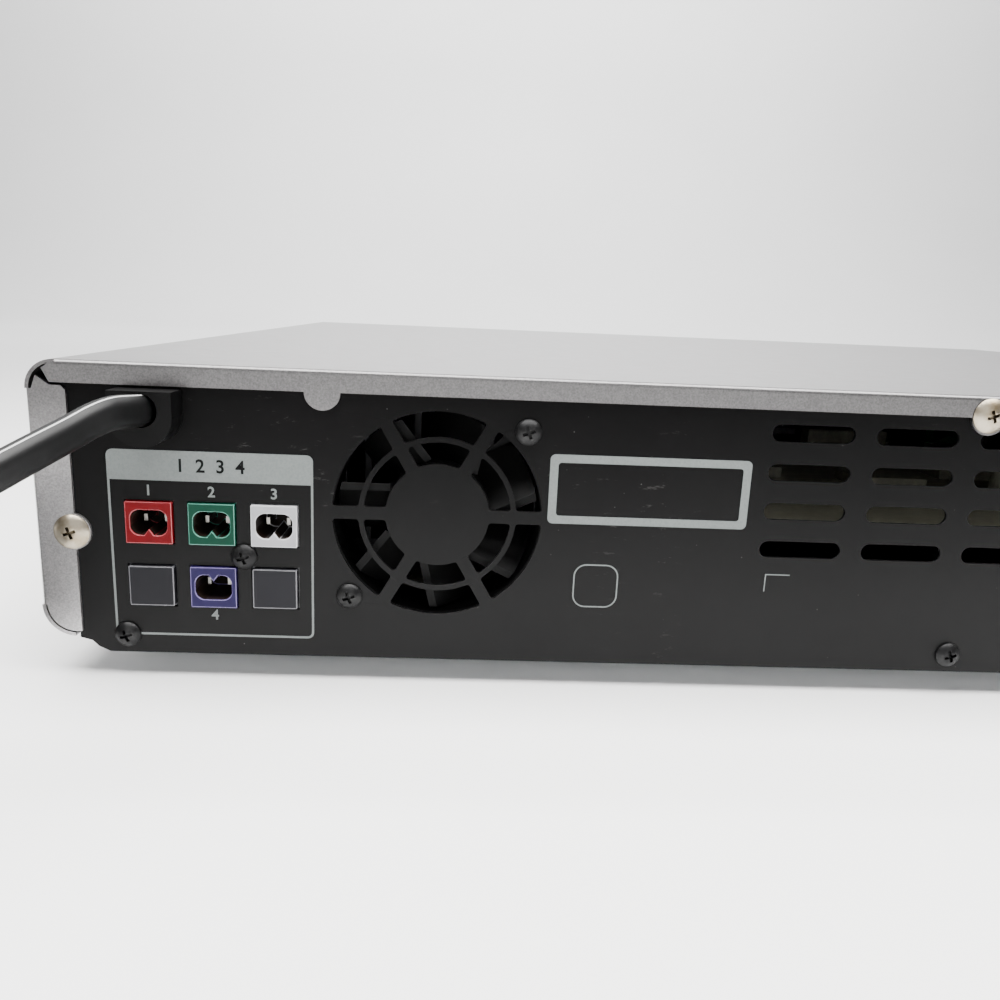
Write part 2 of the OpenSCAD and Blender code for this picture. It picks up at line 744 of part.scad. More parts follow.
// Cans on the power board: across and back from its corner, then radius and height.
power_cans = [
    [24, 172, 12.5, 40], [52, 172, 12.5, 40], [19, 142, 8, 22], [38, 142, 8, 22],
    [power_board_w - 19, 192, 9, 25]
];
// Blocks on the power board: across and back from its corner, then width, length and height.
power_blocks = [
    [9, 102, 18, 22, 16], [14, 20, 26, 20, 12], [power_board_w - 39, 130, 16, 12, 14],
    [power_board_w - 34, 212, 20, 14, 10]
];

module power_board() color([0.62, 0.5, 0.3]) translate([power_board_x, power_board_y, power_board_z]) {
    cube([power_board_w, power_board_l, board_t]);
    for (p = power_cans) translate([p[0], p[1], board_t - eps]) cylinder(r = p[2], h = p[3]);
    for (p = power_blocks) translate([p[0], p[1], board_t - eps]) cube([p[2], p[3], p[4]]);
}

core = [46, 40, 36]; // the transformer's laminations
core_leg = 7; // thickness of the outer legs and the yokes
core_window = 11; // width of each window beside the middle leg
winding_gap = 0.3; // between the winding and the outer legs
winding_out = 6; // how far the winding stands out of the core
core_at = [power_board_w - 54, 57]; // across and back from the power board's corner

module transformer() color([0.3, 0.3, 0.32])
    translate([power_board_x + core_at[0], power_board_y + core_at[1], power_board_z + board_t]) {
        difference() {
            cube(core);
            for (x = [core_leg, core[0] - core_leg - core_window]) translate([x, -1, core_leg])
                cube([core_window, core[1] + 2, core[2] - 2 * core_leg]);
        }
        inset = core_leg + winding_gap;
        translate([inset, -winding_out, inset])
            cube([core[0] - 2 * inset, core[1] + 2 * winding_out, core[2] - 2 * inset]);
    }

main_board_x = -half_w + board_edge;
main_board_end = 88; // the main board's other side
main_board_w = main_board_end - main_board_x;
main_board_y = frame_y + frame_l + 12.25;
main_board_z = foot_h + 32.6;
main_board_top = main_board_z + board_t;
main_board_l = y_in - fit_gap - main_board_y;
// Chips and plugs on the main board: across, back from its front edge, then width, length and height.
main_blocks = [
    [-60, 36, 26, 26, 3], [-110, 26, 18, 18, 2.5], [-20, 66, 22, 14, 3], [30, 16, 34, 9, 9],
    [20, 48, 14, 20, 3], [-40, 6, 30, 7, 8], [main_board_x + 44, 16, 34, 7, 8],
    [main_board_x + 14, 56, 12, 26, 10]
];
main_cans = 6;
main_can_r = 4;
main_can_h = 11;
main_can_px = 22;
main_can_x = main_board_x + 54; // the first can
main_can_y = y_in - 48.75;

module main_board() color([0.66, 0.6, 0.42]) {
    translate([main_board_x, main_board_y, main_board_z]) cube([main_board_w, main_board_l, board_t]);
    for (p = main_blocks)
        translate([p[0], main_board_y + p[1], main_board_top - eps]) cube([p[2], p[3], p[4]]);
    for (i = [0:main_cans - 1])
        translate([main_can_x + main_can_px * i, main_can_y, main_board_top - eps])
            cylinder(r = main_can_r, h = main_can_h);
}

main_post_x = [main_board_x + 8, -70, 50];
main_post_y = [main_board_y + 8, y_in - 14];
power_post_x = [power_board_x + 6, power_board_x + power_board_w - 6];
power_post_y = [power_board_y + 8, power_board_y + power_board_l - 8];

// Posts that carry the boards, pressed up from the chassis plate.
module board_posts() {
    for (x = main_post_x, y = main_post_y)
        translate([x, y, base_top - eps]) cylinder(r = board_post_r, h = main_board_z - base_top + eps);
    for (x = power_post_x, y = power_post_y)
        translate([x, y, base_top - eps]) cylinder(r = board_post_r, h = power_board_z - base_top + eps);
}

phono_hole_r = 1.6;
phono_deep = 9;
phono_block = 16; // depth of the block behind the panel

module phono_sockets() color([0.14, 0.14, 0.15]) for (p = phono_at) difference() {
    union() {
        translate([p[0] - phono_px / 2, y_in - phono_block, p[1] - phono_pz / 2])
            cube([phono_px, phono_block, phono_pz]);
        translate([p[0], y_back + phono_out, p[1]]) rotate([90, 0, 0])
            cylinder(r = phono_r, h = phono_out + panel_t + 1);
        translate([p[0], y_back + 2, p[1]]) rotate([90, 0, 0]) cylinder(r = phono_r, h = 4);
    }
    translate([p[0], y_back + phono_out + 1, p[1]]) rotate([90, 0, 0]) {
        cylinder(r = phono_hole_r, h = phono_deep + 1);
        tube(phono_r - 0.5, phono_r - 1, 3);
    }
}

aerial_r = 4.8;
aerial_out = 8;
aerial_deep = 15; // depth of both blocks behind the panel
clip_w = 24;
clip_h = 13;

module aerial_sockets() color([0.15, 0.15, 0.15]) {
    difference() {
        union() {
            slab_y(y_in - aerial_deep, aerial_deep) translate([aerial_x, aerial_z])
                square([14, 2 * (aerial_z - main_board_top)], center = true);
            slab_y(y_in - 1, aerial_out + panel_t + 1) translate([aerial_x, aerial_z]) circle(aerial_r);
        }
        slab_y(y_back + aerial_out - 7, 8) translate([aerial_x, aerial_z]) circle(1.5);
        slab_y(y_back + aerial_out - 3, 4) translate([aerial_x, aerial_z]) difference() {
            circle(aerial_r - 0.8);
            circle(2.8);
        }
    }
    difference() {
        union() {
            slab_y(y_in - aerial_deep, aerial_deep) translate([clip_x, main_board_top + clip_h / 2 + 2])
                square([clip_w + 2, clip_h + 4], center = true);
            slab_y(y_in - 1, panel_t + 2) translate([clip_x, clip_z]) square([clip_w, clip_h], center = true);
            for (s = [-1, 1]) translate([clip_x + s * clip_w / 4, y_back + 1 - eps, clip_z + 2])
                slab_x(-4, 8) polygon([[0, -2], [5, -1], [5, 0.5], [0, 3]]);
        }
        for (s = [-1, 1]) slab_y(y_back - 5, 8) translate([clip_x + s * clip_w / 4, clip_z - 4]) circle(1.3);
    }
}

// Two flat cables along the floor, each from the front board to the main board.
cable_t = 0.4;
cable_w = 16;
cable_x = [-half_w + 73, -half_w + 93]; // the -X edge of each cable
cable_out = 10; // how far a cable stands off the back of the front board
cable_rise = 4; // how far in front of the main board a cable goes up
module ribbon_cables() color("lightgray") for (x = cable_x) slab_x(x, cable_w) {
    y0 = front_board_back;
    y1 = front_board_back + cable_out;
    y2 = main_board_y - cable_rise;
    polygon([
        [y0, cable_z], [y1, cable_z], [y1, base_top + cable_t], [y2 - cable_t, base_top + cable_t],
        [y2 - cable_t, main_board_top], [main_board_y, main_board_top],
        [main_board_y, main_board_top - cable_t], [y2, main_board_top - cable_t],
        [y2, base_top], [y1 - cable_t, base_top],
        [y1 - cable_t, cable_z - cable_t], [y0, cable_z - cable_t]
    ]);
}

// ---- front panel ----

bezel_z = tray_z + 0.5; // centre of the cap on the tray
window_z = foot_h + 18;
window_t = 2;
front_board_y = y_front + 16;
front_board_back = front_board_y + board_t;
cable_z = foot_h + 20; // where the flat cables leave the front board
controls_z = tray_z + 0.5;
power_x = -half_w + 30;
lamp_x = power_x + 23;
lamp_r = 1.5;
phone_x = power_x;
phone_z = foot_h + 15;
phone_ring_r = phone_r + 2;
knob_x = half_w - 47;
knob_z = foot_h + 34;
knob_shaft_r = 3;
button_px = button_l + 4;
button_pz = button_h + 11;
// the rows stand midway between the tray's cap and the knob
button_x0 = (bezel_w / 2 + knob_x - knob_d / 2) / 2 - button_px;
upper_row = [for (i = [0:2]) [button_x0 + button_px * i, controls_z]]; // open, play and stop
lower_row = [for (i = [0:1]) [button_x0 + button_px * i, controls_z - button_pz]]; // back and forward
panel_rib_x = [phone_x + 16, phone_x + 46, knob_x - 17, knob_x + 33];
panel_rib_t = 2;
panel_rib_d = 8;
flange_out = 1.5; // how far a button's flange overlaps the panel
flange_t = 1;
tact_h = 4;
tact_w = 6;
button_gap = 0.2; // between a resting stem and its switch
stem_end = front_board_y - tact_h - button_travel - button_gap;
front_wall_y = y_front + front_wall;
front_edge_r = 2;

module front_outline(inset) {
    hw = half_w - inset;
    lo = foot_h + inset;
    hi = top_z - inset;
    r = cover_rt - inset;
    translate([0, (lo + hi) / 2]) rounded_rect(2 * hw, hi - lo, r);
}

module button_outline(grow) rounded_rect(button_l + 2 * grow, button_h + 2 * grow, 1.5 + grow);

module front_holes() {
    translate([0, bezel_z]) rounded_rect(bezel_w + 2 * seam, bezel_h + 2 * seam, 2 + seam);
    translate([0, window_z]) rounded_rect(window_w, window_h, 2);
    for (p = concat(upper_row, lower_row)) translate(p) button_outline(seam / 2);
    translate([power_x, controls_z]) circle(power_d / 2 + seam / 2);
    translate([lamp_x, controls_z]) circle(lamp_r + 0.1);
    translate([phone_x, phone_z]) circle(phone_ring_r + 0.1);
    translate([knob_x, knob_z]) circle(knob_shaft_r + 1);
}

module front_panel() color([0.75, 0.75, 0.77]) difference() {
    slab_y(y_front, front_d) front_outline(0);
    difference() {
        slab_y(front_wall_y, front_d) front_outline(front_wall);
        slab_y(front_wall_y - 1, panel_rib_d + 1) for (x = panel_rib_x)
            translate([x - panel_rib_t / 2, foot_h]) square([panel_rib_t, case_h]);
    }
    slab_y(y_front - 1, front_wall + 12) front_holes();
    slab_y(y_front - 1, window_t + 1) translate([0, window_z])
        rounded_rect(window_w + 2 * window_ledge, window_h + 2 * window_ledge, 3);
    slab_y(y_front - 1, 1.7) translate([0, top_z - 9]) square([case_w - 24, 0.8], center = true);
    for (s = [0, 1]) mirror([s, 0, 0]) {
        slab_z(foot_h + cover_rt, case_h - 2 * cover_rt)
            translate([half_w, y_front]) mirror([0, 1]) bend_cut_outline(front_edge_r);
        for (e = [[top_z - cover_rt, 0], [foot_h + cover_rt, -90]])
            translate([half_w - cover_rt, 0, e[0]]) rotate([90, e[1] == 0 ? 0 : 90, 0]) mirror([0, 0, 1])
                translate([0, 0, y_front]) rotate_extrude(angle = 90)
                    translate([cover_rt, 0]) mirror([0, 1]) bend_cut_outline(front_edge_r);
    }
    for (s = [1, -1])
        slab_x(-half_w + cover_rt, case_w - 2 * cover_rt)
            translate([y_front, s > 0 ? top_z : foot_h]) mirror([1, 0]) mirror([0, s > 0 ? 0 : 1])
                bend_cut_outline(front_edge_r);
}

window_ledge = 2;
window_set = 0.4; // how far the window lies behind the front face
tube_t = 7; // thickness of the display tube
tube_end = 7; // from the window's sides to the tube's ends

module display_window() color([0.08, 0.09, 0.1, 0.6])
    slab_y(y_front + window_set, window_t - window_set) translate([0, window_z])
        rounded_rect(window_w + 2 * window_ledge - 0.2, window_h + 2 * window_ledge - 0.2, 2.9);

module display_tube() color([0.35, 0.4, 0.42]) {
    slab_y(front_board_y - tube_t, tube_t) translate([0, window_z])
        square([window_w - 2 * tube_end, window_h - 2], center = true);
    translate([window_w / 2 - tube_end - eps, front_board_y - tube_t / 2 - 0.5, window_z])
        rotate([0, 90, 0]) cylinder(r = 1.5, h = 4);
}

board_low = window_z + window_h / 2 + 3; // the front board's upper edge below the tray
board_high = controls_z + 9.5;
board_low_x = bezel_w / 2 + 6;

module front_board() color([0.2, 0.42, 0.26]) {
    difference() {
        slab_y(front_board_y, board_t) {
            translate([-half_w + 18, foot_h + 4]) square([case_w - 36, board_low - foot_h - 4]);
            for (s = [0, 1]) mirror([s, 0])
                translate([board_low_x, foot_h + 4])
                    square([half_w - 18 - board_low_x, board_high - foot_h - 4]);
        }
        slab_y(front_board_y - 1, board_t + 2) translate([phone_x, phone_z]) circle(phone_r + 1);
    }
    for (p = concat(upper_row, lower_row, [[power_x, controls_z]]))
        slab_y(front_board_y - tact_h, tact_h + eps) translate(p) square(tact_w, center = true);
}

module button_shape(p, cap_len) {
    translate([p[0], 0, p[1]]) {
        slab_y(front_wall_y + fit_gap, flange_t) children(1);
        slab_y(y_front - button_out, button_out + front_wall + fit_gap + flange_t) children(0);
        slab_y(front_wall_y + fit_gap, stem_end - front_wall_y - fit_gap) circle(cap_len);
    }
}

module small_button(p) button_shape(p, 1.8) {
    button_outline(0);
    button_outline(flange_out);
}

module power_button() color([0.7, 0.7, 0.72]) button_shape([power_x, controls_z], 2.2) {
    circle(power_d / 2);
    circle(power_d / 2 + flange_out);
}

module open_button() color([0.7, 0.7, 0.72]) small_button(upper_row[0]);
module play_button() color([0.7, 0.7, 0.72]) small_button(upper_row[1]);
module stop_button() color([0.7, 0.7, 0.72]) small_button(upper_row[2]);
module back_button() color([0.7, 0.7, 0.72]) small_button(lower_row[0]);
module forward_button() color([0.7, 0.7, 0.72]) small_button(lower_row[1]);

knob_gap = 0.6; // between the knob's skirt and the panel
knob_grooves = 36;

module volume_knob() color([0.8, 0.8, 0.82])
translate([knob_x, y_front - knob_out, knob_z]) rotate([-90, 0, 0]) difference() {
    rotate_extrude() polygon([
        [0, 0.8], [knob_d / 2 - 4, 0.8], [knob_d / 2 - 3, 0], [knob_d / 2 - 1.4, 0.4],
        [knob_d / 2 - 0.4, 1.6], [knob_d / 2, 2.6], [knob_d / 2, knob_out - knob_gap],
        [0, knob_out - knob_gap]
    ]);
    for (k = [0:knob_grooves - 1]) rotate([0, 0, 360 * k / knob_grooves])
        translate([knob_d / 2 + 0.35, 0, 3.2]) cylinder(r = 0.8, h = knob_out, $fn = 16);
    translate([0, -knob_d / 2 + 7, -0.2]) cylinder(r = 1.6, h = 2);
    translate([0, 0, 4]) cylinder(r = knob_shaft_r + run_gap, h = knob_out);
}

encoder_t = 7;
shaft_start = 5; // from the knob's face to the end of its shaft

module volume_encoder() color([0.45, 0.45, 0.48]) translate([knob_x, 0, knob_z]) {
    y0 = y_front - knob_out + shaft_start;
    slab_y(front_board_y - encoder_t, encoder_t) square(13, center = true);
    slab_y(y0, front_board_y - encoder_t - y0 + eps) circle(knob_shaft_r);
}

phone_len = 14;

module phone_socket() color([0.1, 0.1, 0.1]) translate([phone_x, 0, phone_z]) difference() {
    union() {
        slab_y(y_front - 0.6, front_wall + 1.2) circle(phone_ring_r);
        slab_y(y_front + front_wall, front_board_y - y_front - front_wall) square([12, 13], center = true);
    }
    slab_y(y_front - 1, phone_len + 0.4) circle(phone_r);
}

module standby_lamp() color("red") translate([lamp_x, 0, controls_z]) {
    slab_y(y_front - 0.4, front_board_y - y_front + 0.4) circle(lamp_r);
    slab_y(front_wall_y, 1) circle(lamp_r + 0.6);
}

// ---- tray ----

module slot_outline(hw, y_end) {
    translate([0, disc_y]) circle(hw);
    translate([-hw, disc_y]) square([2 * hw, y_end - disc_y]);
}

module tray_outline(inset) translate([0, tray_y + tray_l / 2])
    rounded_rect(tray_w - 2 * inset, tray_l - 2 * inset, 3);

tray_skin = 1.2; // below the small disc's recess
rib_t = 1.6;
cross_rib_y = [25, 58, 91, 118, 146, 172]; // from the front of the tray to each cross rib
finger_at = 43; // the finger recesses, across and along from the disc's centre
finger_r = 9;
vent_hole_y = [160, 186];

module tray_ribs_outline() {
    for (y = cross_rib_y) translate([-tray_w / 2, tray_y + y]) square([tray_w, rib_t]);
    for (s = [-1, 1]) {
        translate([s * tray_w / 4 - rib_t / 2, tray_y]) square([rib_t, tray_l]);
        translate([s * (tray_slot_w / 2 + rib_t / 2) - rib_t / 2, disc_y]) square([rib_t, tray_l]);
    }
    difference() {
        translate([0, disc_y]) circle(tray_slot_w / 2 + rib_t);
        translate([0, disc_y]) circle(tray_slot_w / 2 - 1);
    }
    translate([rack_x - 3, tray_y]) square([2, tray_l]);
}

module tray() color([0.13, 0.13, 0.14]) {
    difference() {
        slab_z(tray_z, tray_t) tray_outline(0);
        slab_z(tray_top - disc_deep, tray_t) {
            translate([0, disc_y]) circle(disc_d / 2);
            for (s = [-1, 1], t = [-1, 1])
                translate([s * finger_at, disc_y + t * finger_at]) circle(finger_r);
        }
        translate([0, disc_y, tray_top - disc_deep - small_disc_deep])
            cylinder(r = small_disc_d / 2, h = tray_t);
        slab_z(tray_z - 1, tray_t + 2) slot_outline(tray_slot_w / 2, tray_y + tray_l + 1);
        slab_z(tray_z - 1, tray_t - disc_deep - small_disc_deep - tray_skin + 1) difference() {
            tray_outline(4);
            tray_ribs_outline();
        }
        for (s = [-1, 1], y = vent_hole_y)
            translate([s * 49, tray_y + y, tray_z - 1]) cylinder(r = 5, h = tray_t + 2);
    }
    slab_z(tray_z - rack_h, rack_h + eps) translate([rack_x, drive_y - rack_before * tooth_pitch])
        rack_outline(rack_count, 3);
}

module tray_bezel() color([0.75, 0.75, 0.77]) difference() {
    slab_y(y_front, bezel_t) translate([0, bezel_z]) rounded_rect(bezel_w, bezel_h, 2);
    slab_y(y_front - 1, 1.4) translate([0, bezel_z - bezel_h / 2 + 2.6])
        square([bezel_w - 10, 0.6], center = true);
    for (s = [1, -1])
        slab_x(-bezel_w / 2 - 1, bezel_w + 2) translate([y_front, bezel_z + s * bezel_h / 2])
            mirror([1, 0]) mirror([0, s > 0 ? 0 : 1]) bend_cut_outline(0.8);
}

// ---- tray drive ----

module tray_gear() color("ivory") translate([drive_x, drive_y, gear_z]) difference() {
    union() {
        rotate([0, 0, tray_gear_turn]) linear_extrude(gear_top - gear_z) gear_outline(tray_teeth);
        cylinder(r = 4, h = gear_top - gear_z);
    }
    translate([0, 0, -1]) cylinder(r = post_r + run_gap, h = gear_top - gear_z + 2);
    translate([0, 0, gear_top - gear_z - 2]) tube(pitch_r(tray_teeth) - 3, 4.5, 3);
}

groove_deep = 1.4;

module groove_pulley(d, h) rotate_extrude() difference() {
    square([d / 2, h]);
    translate([d / 2 - groove_deep, h / 2 - belt_t / 2 - 0.3]) square([groove_deep + 1, belt_t + 0.6]);
}

module pulley_gear() color("ivory") translate([drive_x, pulley_y, pulley_z]) difference() {
    union() {
        groove_pulley(pulley_d, pulley_h);
        rotate([0, 0, pulley_gear_turn]) translate([0, 0, pulley_h - eps])
            linear_extrude(gear_top - pulley_z - pulley_h - 3) gear_outline(pulley_teeth);
    }
    translate([0, 0, -1]) cylinder(r = post_r + run_gap, h = gear_top);
}

module motor_pulley() color("ivory") translate([drive_x, motor_y, pulley_z]) difference() {
    groove_pulley(motor_pulley_d, pulley_h);
    translate([0, 0, -1]) cylinder(r = shaft_r + run_gap, h = pulley_h + 2);
}

belt_gap = motor_y - pulley_y;

// The outline of a loop about both pulleys, at radius r1 about the large one and r2 about the small one.
function arc_points(y, r, a0, a1, steps) =
    [for (i = [0:steps]) let (a = a0 + (a1 - a0) * i / steps) [r * cos(a), y + r * sin(a)]];
module loop_outline(r1, r2) {
    lean = asin((r1 - r2) / belt_gap);
    polygon(concat(
        arc_points(0, r1, 180 - lean, 360 + lean, 32), arc_points(belt_gap, r2, lean, 180 - lean, 16)
    ));
}

belt_seat = 0.3; // between the belt and the floor of each groove

module drive_belt() color([0.08, 0.08, 0.08])
    translate([drive_x, pulley_y, pulley_z + (pulley_h - belt_t) / 2]) linear_extrude(belt_t) difference() {
        belt_in = groove_deep - belt_seat;
        loop_outline(pulley_d / 2 - belt_in + belt_t, motor_pulley_d / 2 - belt_in + belt_t);
        loop_outline(pulley_d / 2 - belt_in, motor_pulley_d / 2 - belt_in);
    }

loading_motor_r = 12;
loading_motor_h = 15;

module loading_motor() color("silver") translate([drive_x, motor_y, 0]) {
    translate([0, 0, bed_z - loading_motor_h]) intersection() {
        cylinder(r = loading_motor_r, h = loading_motor_h);
        translate([-loading_motor_r, -9, 0]) cube([2 * loading_motor_r, 18, loading_motor_h]);
    }
    translate([0, 0, bed_z - eps]) cylinder(r = shaft_r, h = pulley_z + pulley_h - bed_z);
    translate([0, 0, bed_z - eps]) cylinder(r = 2.5, h = 1);
}

// ---- cam slider ----

module cam_slider() color([0.85, 0.83, 0.76]) slab_y(slider_y, slider_t) difference() {
    translate([slider_x0, slider_z0]) square([slider_x1 - slider_x0, slider_z1 - slider_z0]);
    cam_slot();
    translate([slider_x0 + 4, slider_z0 + 3]) square([8, 10]);
    translate([slider_x1 - 12, slider_z0 + 3]) square([8, 6]);
}

// The slot that the deck's pin runs down as the slider moves to +X.
module cam_slot() {
    r = cam_pin_r + cam_slot_gap;
    run = norm([cam_travel, cam_drop]);
    translate([cam_pin_x, pivot_z]) rotate(180 + atan2(cam_drop, cam_travel)) {
        circle(r);
        translate([0, -r]) square([run, 2 * r]);
        translate([run, 0]) circle(r);
    }
}

// ---- loader frame ----

bearing_w = 4;
leg_r = 4;
leg_in = 8; // from the frame's ends to its legs
guide_w = 3; // how far the tray's guides stand in from the side walls
guide_t = 1.5;
guide_y = [0, 100, 160]; // the guides over the tray
guide_l = 18;
front_bar_t = 2.5;
foot_ring_r = 3.6; // the washers under both gears

module loader_frame() color([0.1, 0.1, 0.11]) difference() {
    union() {
        for (s = [0, 1]) mirror([s, 0, 0]) {
            translate([frame_in, frame_y, bed_z]) cube([frame_wall, frame_l, bridge_z - bed_z]);
            translate([frame_in - guide_w, frame_y, tray_z - fit_gap - guide_t])
                cube([guide_w + eps, frame_l, guide_t]);
            for (y = guide_y) translate([frame_in - guide_w, frame_y + y, tray_top + fit_gap])
                cube([guide_w + eps, guide_l, guide_t]);
            for (y = [leg_in, frame_l - leg_in]) translate([frame_in - leg_r, frame_y + y, base_top])
                cylinder(r = leg_r, h = bed_z - base_top + 1);
        }
        translate([-frame_in - eps, frame_y, bed_z])
            cube([frame_in + deck_x0 - 1, motor_y + 18 - frame_y, bed_t]);
        translate([deck_x1 + 2, frame_y, bed_z]) cube([frame_in - deck_x1 - 2 + eps, frame_l, bed_t]);
        translate([-frame_in - eps, pivot_y - 8, bed_z])
            cube([2 * frame_in + 2 * eps, frame_y + frame_l - pivot_y + 8, bed_t]);
        translate([-frame_in - eps, frame_y, bed_z])
            cube([2 * frame_in + 2 * eps, front_bar_t, tray_z - 2 - bed_z]);
        translate([deck_x0, frame_y, bed_z]) cube([deck_x1 - deck_x0 + 4, 10, bed_t - 0.5]);
        translate([slider_x0 - 4, slider_y + slider_t + fit_gap, bed_z])
            cube([slider_x1 - slider_x0 + cam_travel + 8, 1.5, slider_z0 - bed_z + 1.2]);
        for (x = [slider_x0, slider_x1]) translate([x, frame_y, slider_z1 + fit_gap])
            cube([12, slider_y + slider_t + fit_gap + 1.5 - frame_y, 1.4]);
        for (x = [deck_x0 - pivot_l, deck_x1 + 2]) translate([x, pivot_y - 4, bed_top - eps])
            cube([bearing_w, 8, pivot_z + 4 - bed_top]);
        for (y = [drive_y, pulley_y]) translate([drive_x, y, bed_top - eps])
            cylinder(r = post_r, h = gear_top - (y == drive_y ? 0 : 2) - bed_top);
        for (w = [[drive_y, gear_z], [pulley_y, pulley_z]]) translate([drive_x, w[0], bed_top - eps])
            cylinder(r = foot_ring_r, h = w[1] - fit_gap - bed_top);
    }
    translate([deck_x0 - pivot_l - 1, pivot_y, pivot_z]) rotate([0, 90, 0])
        cylinder(r = pivot_r + run_gap, h = deck_x1 - deck_x0 + 2 * pivot_l + 2);
    translate([drive_x, motor_y, bed_z - 1]) cylinder(r = 3, h = 5);
    // the rack passes over the front wall
    translate([rack_x - 3.5, frame_y - 1, tray_z - rack_h - seam]) cube([5.5, 5, rack_h + seam + 1]);
    for (s = [0, 1], y = [36, 130]) mirror([s, 0, 0]) translate([frame_in - 1, frame_y + y, bed_top + 6])
        cube([frame_wall + 2, 28, 8]);
}

// ---- traverse deck ----

deck_window_x = 19.5;
deck_rim_t = 2;
deck_rim_h = 4;
rod_seat = 3.5;
rod_block_w = 7;
feed_shaft_r = 1.5;
rod_y0 = disc_y + spindle_motor_r - 1.5;
rod_y1 = lens_y + sled_travel + sled_half + 3;

module deck() color([0.55, 0.56, 0.58]) difference() {
    union() {
        slab_z(deck_z, deck_t) difference() {
            translate([deck_x0, deck_y0]) square([deck_x1 - deck_x0, pivot_y + 8 - deck_y0]);
            translate([-deck_window_x, rod_y0 + 2]) square([2 * deck_window_x, rod_y1 - rod_y0 - 4]);
            translate([0, disc_y]) circle(4.4);
            translate([feed_x, pinion_y]) circle(2.5);
            translate([deck_x1 - 9, deck_y0 - 1]) square([10, 20]);
        }
        for (x = [-rod_x, rod_x], y = [rod_y0 - rod_seat / 2, rod_y1 + rod_seat / 2])
            translate([x, y, (deck_z + rod_z - rod_seat) / 2 + eps])
                cube([rod_block_w, rod_seat, deck_z - rod_z + rod_seat], center = true);
        translate([cam_pin_x, deck_y0 + 1, pivot_z]) rotate([90, 0, 0])
            cylinder(r = cam_pin_r, h = deck_y0 + 1 - slider_y);
        for (x = [deck_x0 - pivot_l, deck_x1 - 3]) translate([x, pivot_y, pivot_z]) rotate([0, 90, 0])
            cylinder(r = pivot_r, h = pivot_l + 3);
        translate([feed_x, feed_y, deck_top - eps]) {
            cylinder(r = feed_shaft_r, h = feed_z + feed_h - deck_top);
            cylinder(r = 2 * feed_shaft_r, h = feed_z - fit_gap - deck_top);
        }
        for (x = [deck_x0, deck_x1 - deck_rim_t]) translate([x, rod_y0, deck_z - deck_rim_h])
            cube([deck_rim_t, pivot_y - 14 - rod_y0, deck_rim_h + eps]);
    }
    for (x = [-rod_x, rod_x]) translate([x, rod_y0 - rod_seat - 1, rod_z]) rotate([-90, 0, 0])
        cylinder(r = rod_d / 2 + 0.02, h = rod_y1 - rod_y0 + 2 * rod_seat + 2);
}

module guide_rods() color("silver") for (x = [-rod_x, rod_x])
    translate([x, rod_y0 - rod_seat, rod_z]) rotate([-90, 0, 0])
        cylinder(r = rod_d / 2, h = rod_y1 - rod_y0 + 2 * rod_seat);

module spindle_motor() color("silver") translate([0, disc_y, 0]) {
    translate([0, 0, deck_z - 10]) cylinder(r = spindle_motor_r, h = 10);
    translate([0, 0, deck_z - eps]) cylinder(r = 4, h = deck_t + 0.5);
    cylinder_between(deck_z, turntable_z - 2, shaft_r);
}

module cylinder_between(z0, z1, r) translate([0, 0, z0]) cylinder(r = r, h = z1 - z0);

module turntable() color([0.2, 0.2, 0.22]) translate([0, disc_y, 0]) difference() {
    union() {
        cylinder_between(deck_top + 0.5 + fit_gap, turntable_z - 3, 6);
        cylinder_between(turntable_z - 4, turntable_z, turntable_d / 2);
        cylinder_between(turntable_z - eps, turntable_z + 1.2, 7.4);
        translate([0, 0, turntable_z + 1.2 - eps]) cylinder(r1 = 7.4, r2 = 5.6, h = 1.4);
    }
    cylinder_between(deck_top, turntable_z - 2 + fit_gap, shaft_r + run_gap);
    translate([0, 0, turntable_z - 0.5]) tube(turntable_d / 2 - 1, turntable_d / 2 - 4, 1);
}

sled_top = deck_top + 3.2;
sled_eye_r = 3.5; // the sled's eyes round the rods
sled_body_x = 16;
lens_block = 18; // side of the block that carries the lens
lens_ring_r = 4.6;
lens_ring_h = 2.6;

// A block of the sled from x0 to x1 and from z0 up to z1.
module sled_block(x0, x1, z0, z1)
    translate([x0, lens_y - sled_half, z0]) cube([x1 - x0, 2 * sled_half, z1 - z0]);

module pickup() color([0.25, 0.25, 0.27]) {
    eye_x = rod_x + sled_eye_r;
    difference() {
        union() {
            sled_block(-eye_x, eye_x, rod_z - sled_eye_r, rod_z + sled_eye_r - fit_gap);
            sled_block(-sled_body_x, sled_body_x, rod_z, sled_top);
            sled_block(10, sled_rack_x - 2, feed_z, sled_top);
            translate([-lens_block / 2, lens_y - lens_block / 2, deck_top])
                cube([lens_block, lens_block, tray_z - deck_top + 0.6]);
            translate([0, lens_y, tray_z]) cylinder(r = lens_ring_r, h = lens_ring_h);
        }
        for (x = [-rod_x, rod_x]) translate([x, lens_y - sled_half - 1, rod_z]) rotate([-90, 0, 0])
            cylinder(r = rod_d / 2 + run_gap, h = 2 * sled_half + 2);
    }
    translate([0, lens_y, tray_z + lens_ring_h - eps]) cylinder(r = lens_ring_r - 2, h = 0.6);
    slab_z(feed_z, feed_h) translate([sled_rack_x, feed_y - (sled_rack_count - 2) * tooth_pitch])
        rack_outline(sled_rack_count, 3);
}

module feed_gear() color("ivory") translate([feed_x, feed_y, feed_z]) difference() {
    rotate([0, 0, feed_turn]) linear_extrude(feed_h) gear_outline(feed_teeth);
    translate([0, 0, -1]) cylinder(r = feed_shaft_r + run_gap, h = feed_h + 2);
}

module feed_pinion() color("ivory") translate([feed_x, pinion_y, 0]) {
    translate([0, 0, feed_z]) rotate([0, 0, pinion_turn]) linear_extrude(feed_h) gear_outline(pinion_teeth);
    cylinder_between(deck_z + fit_gap, feed_z + 1, shaft_r);
}

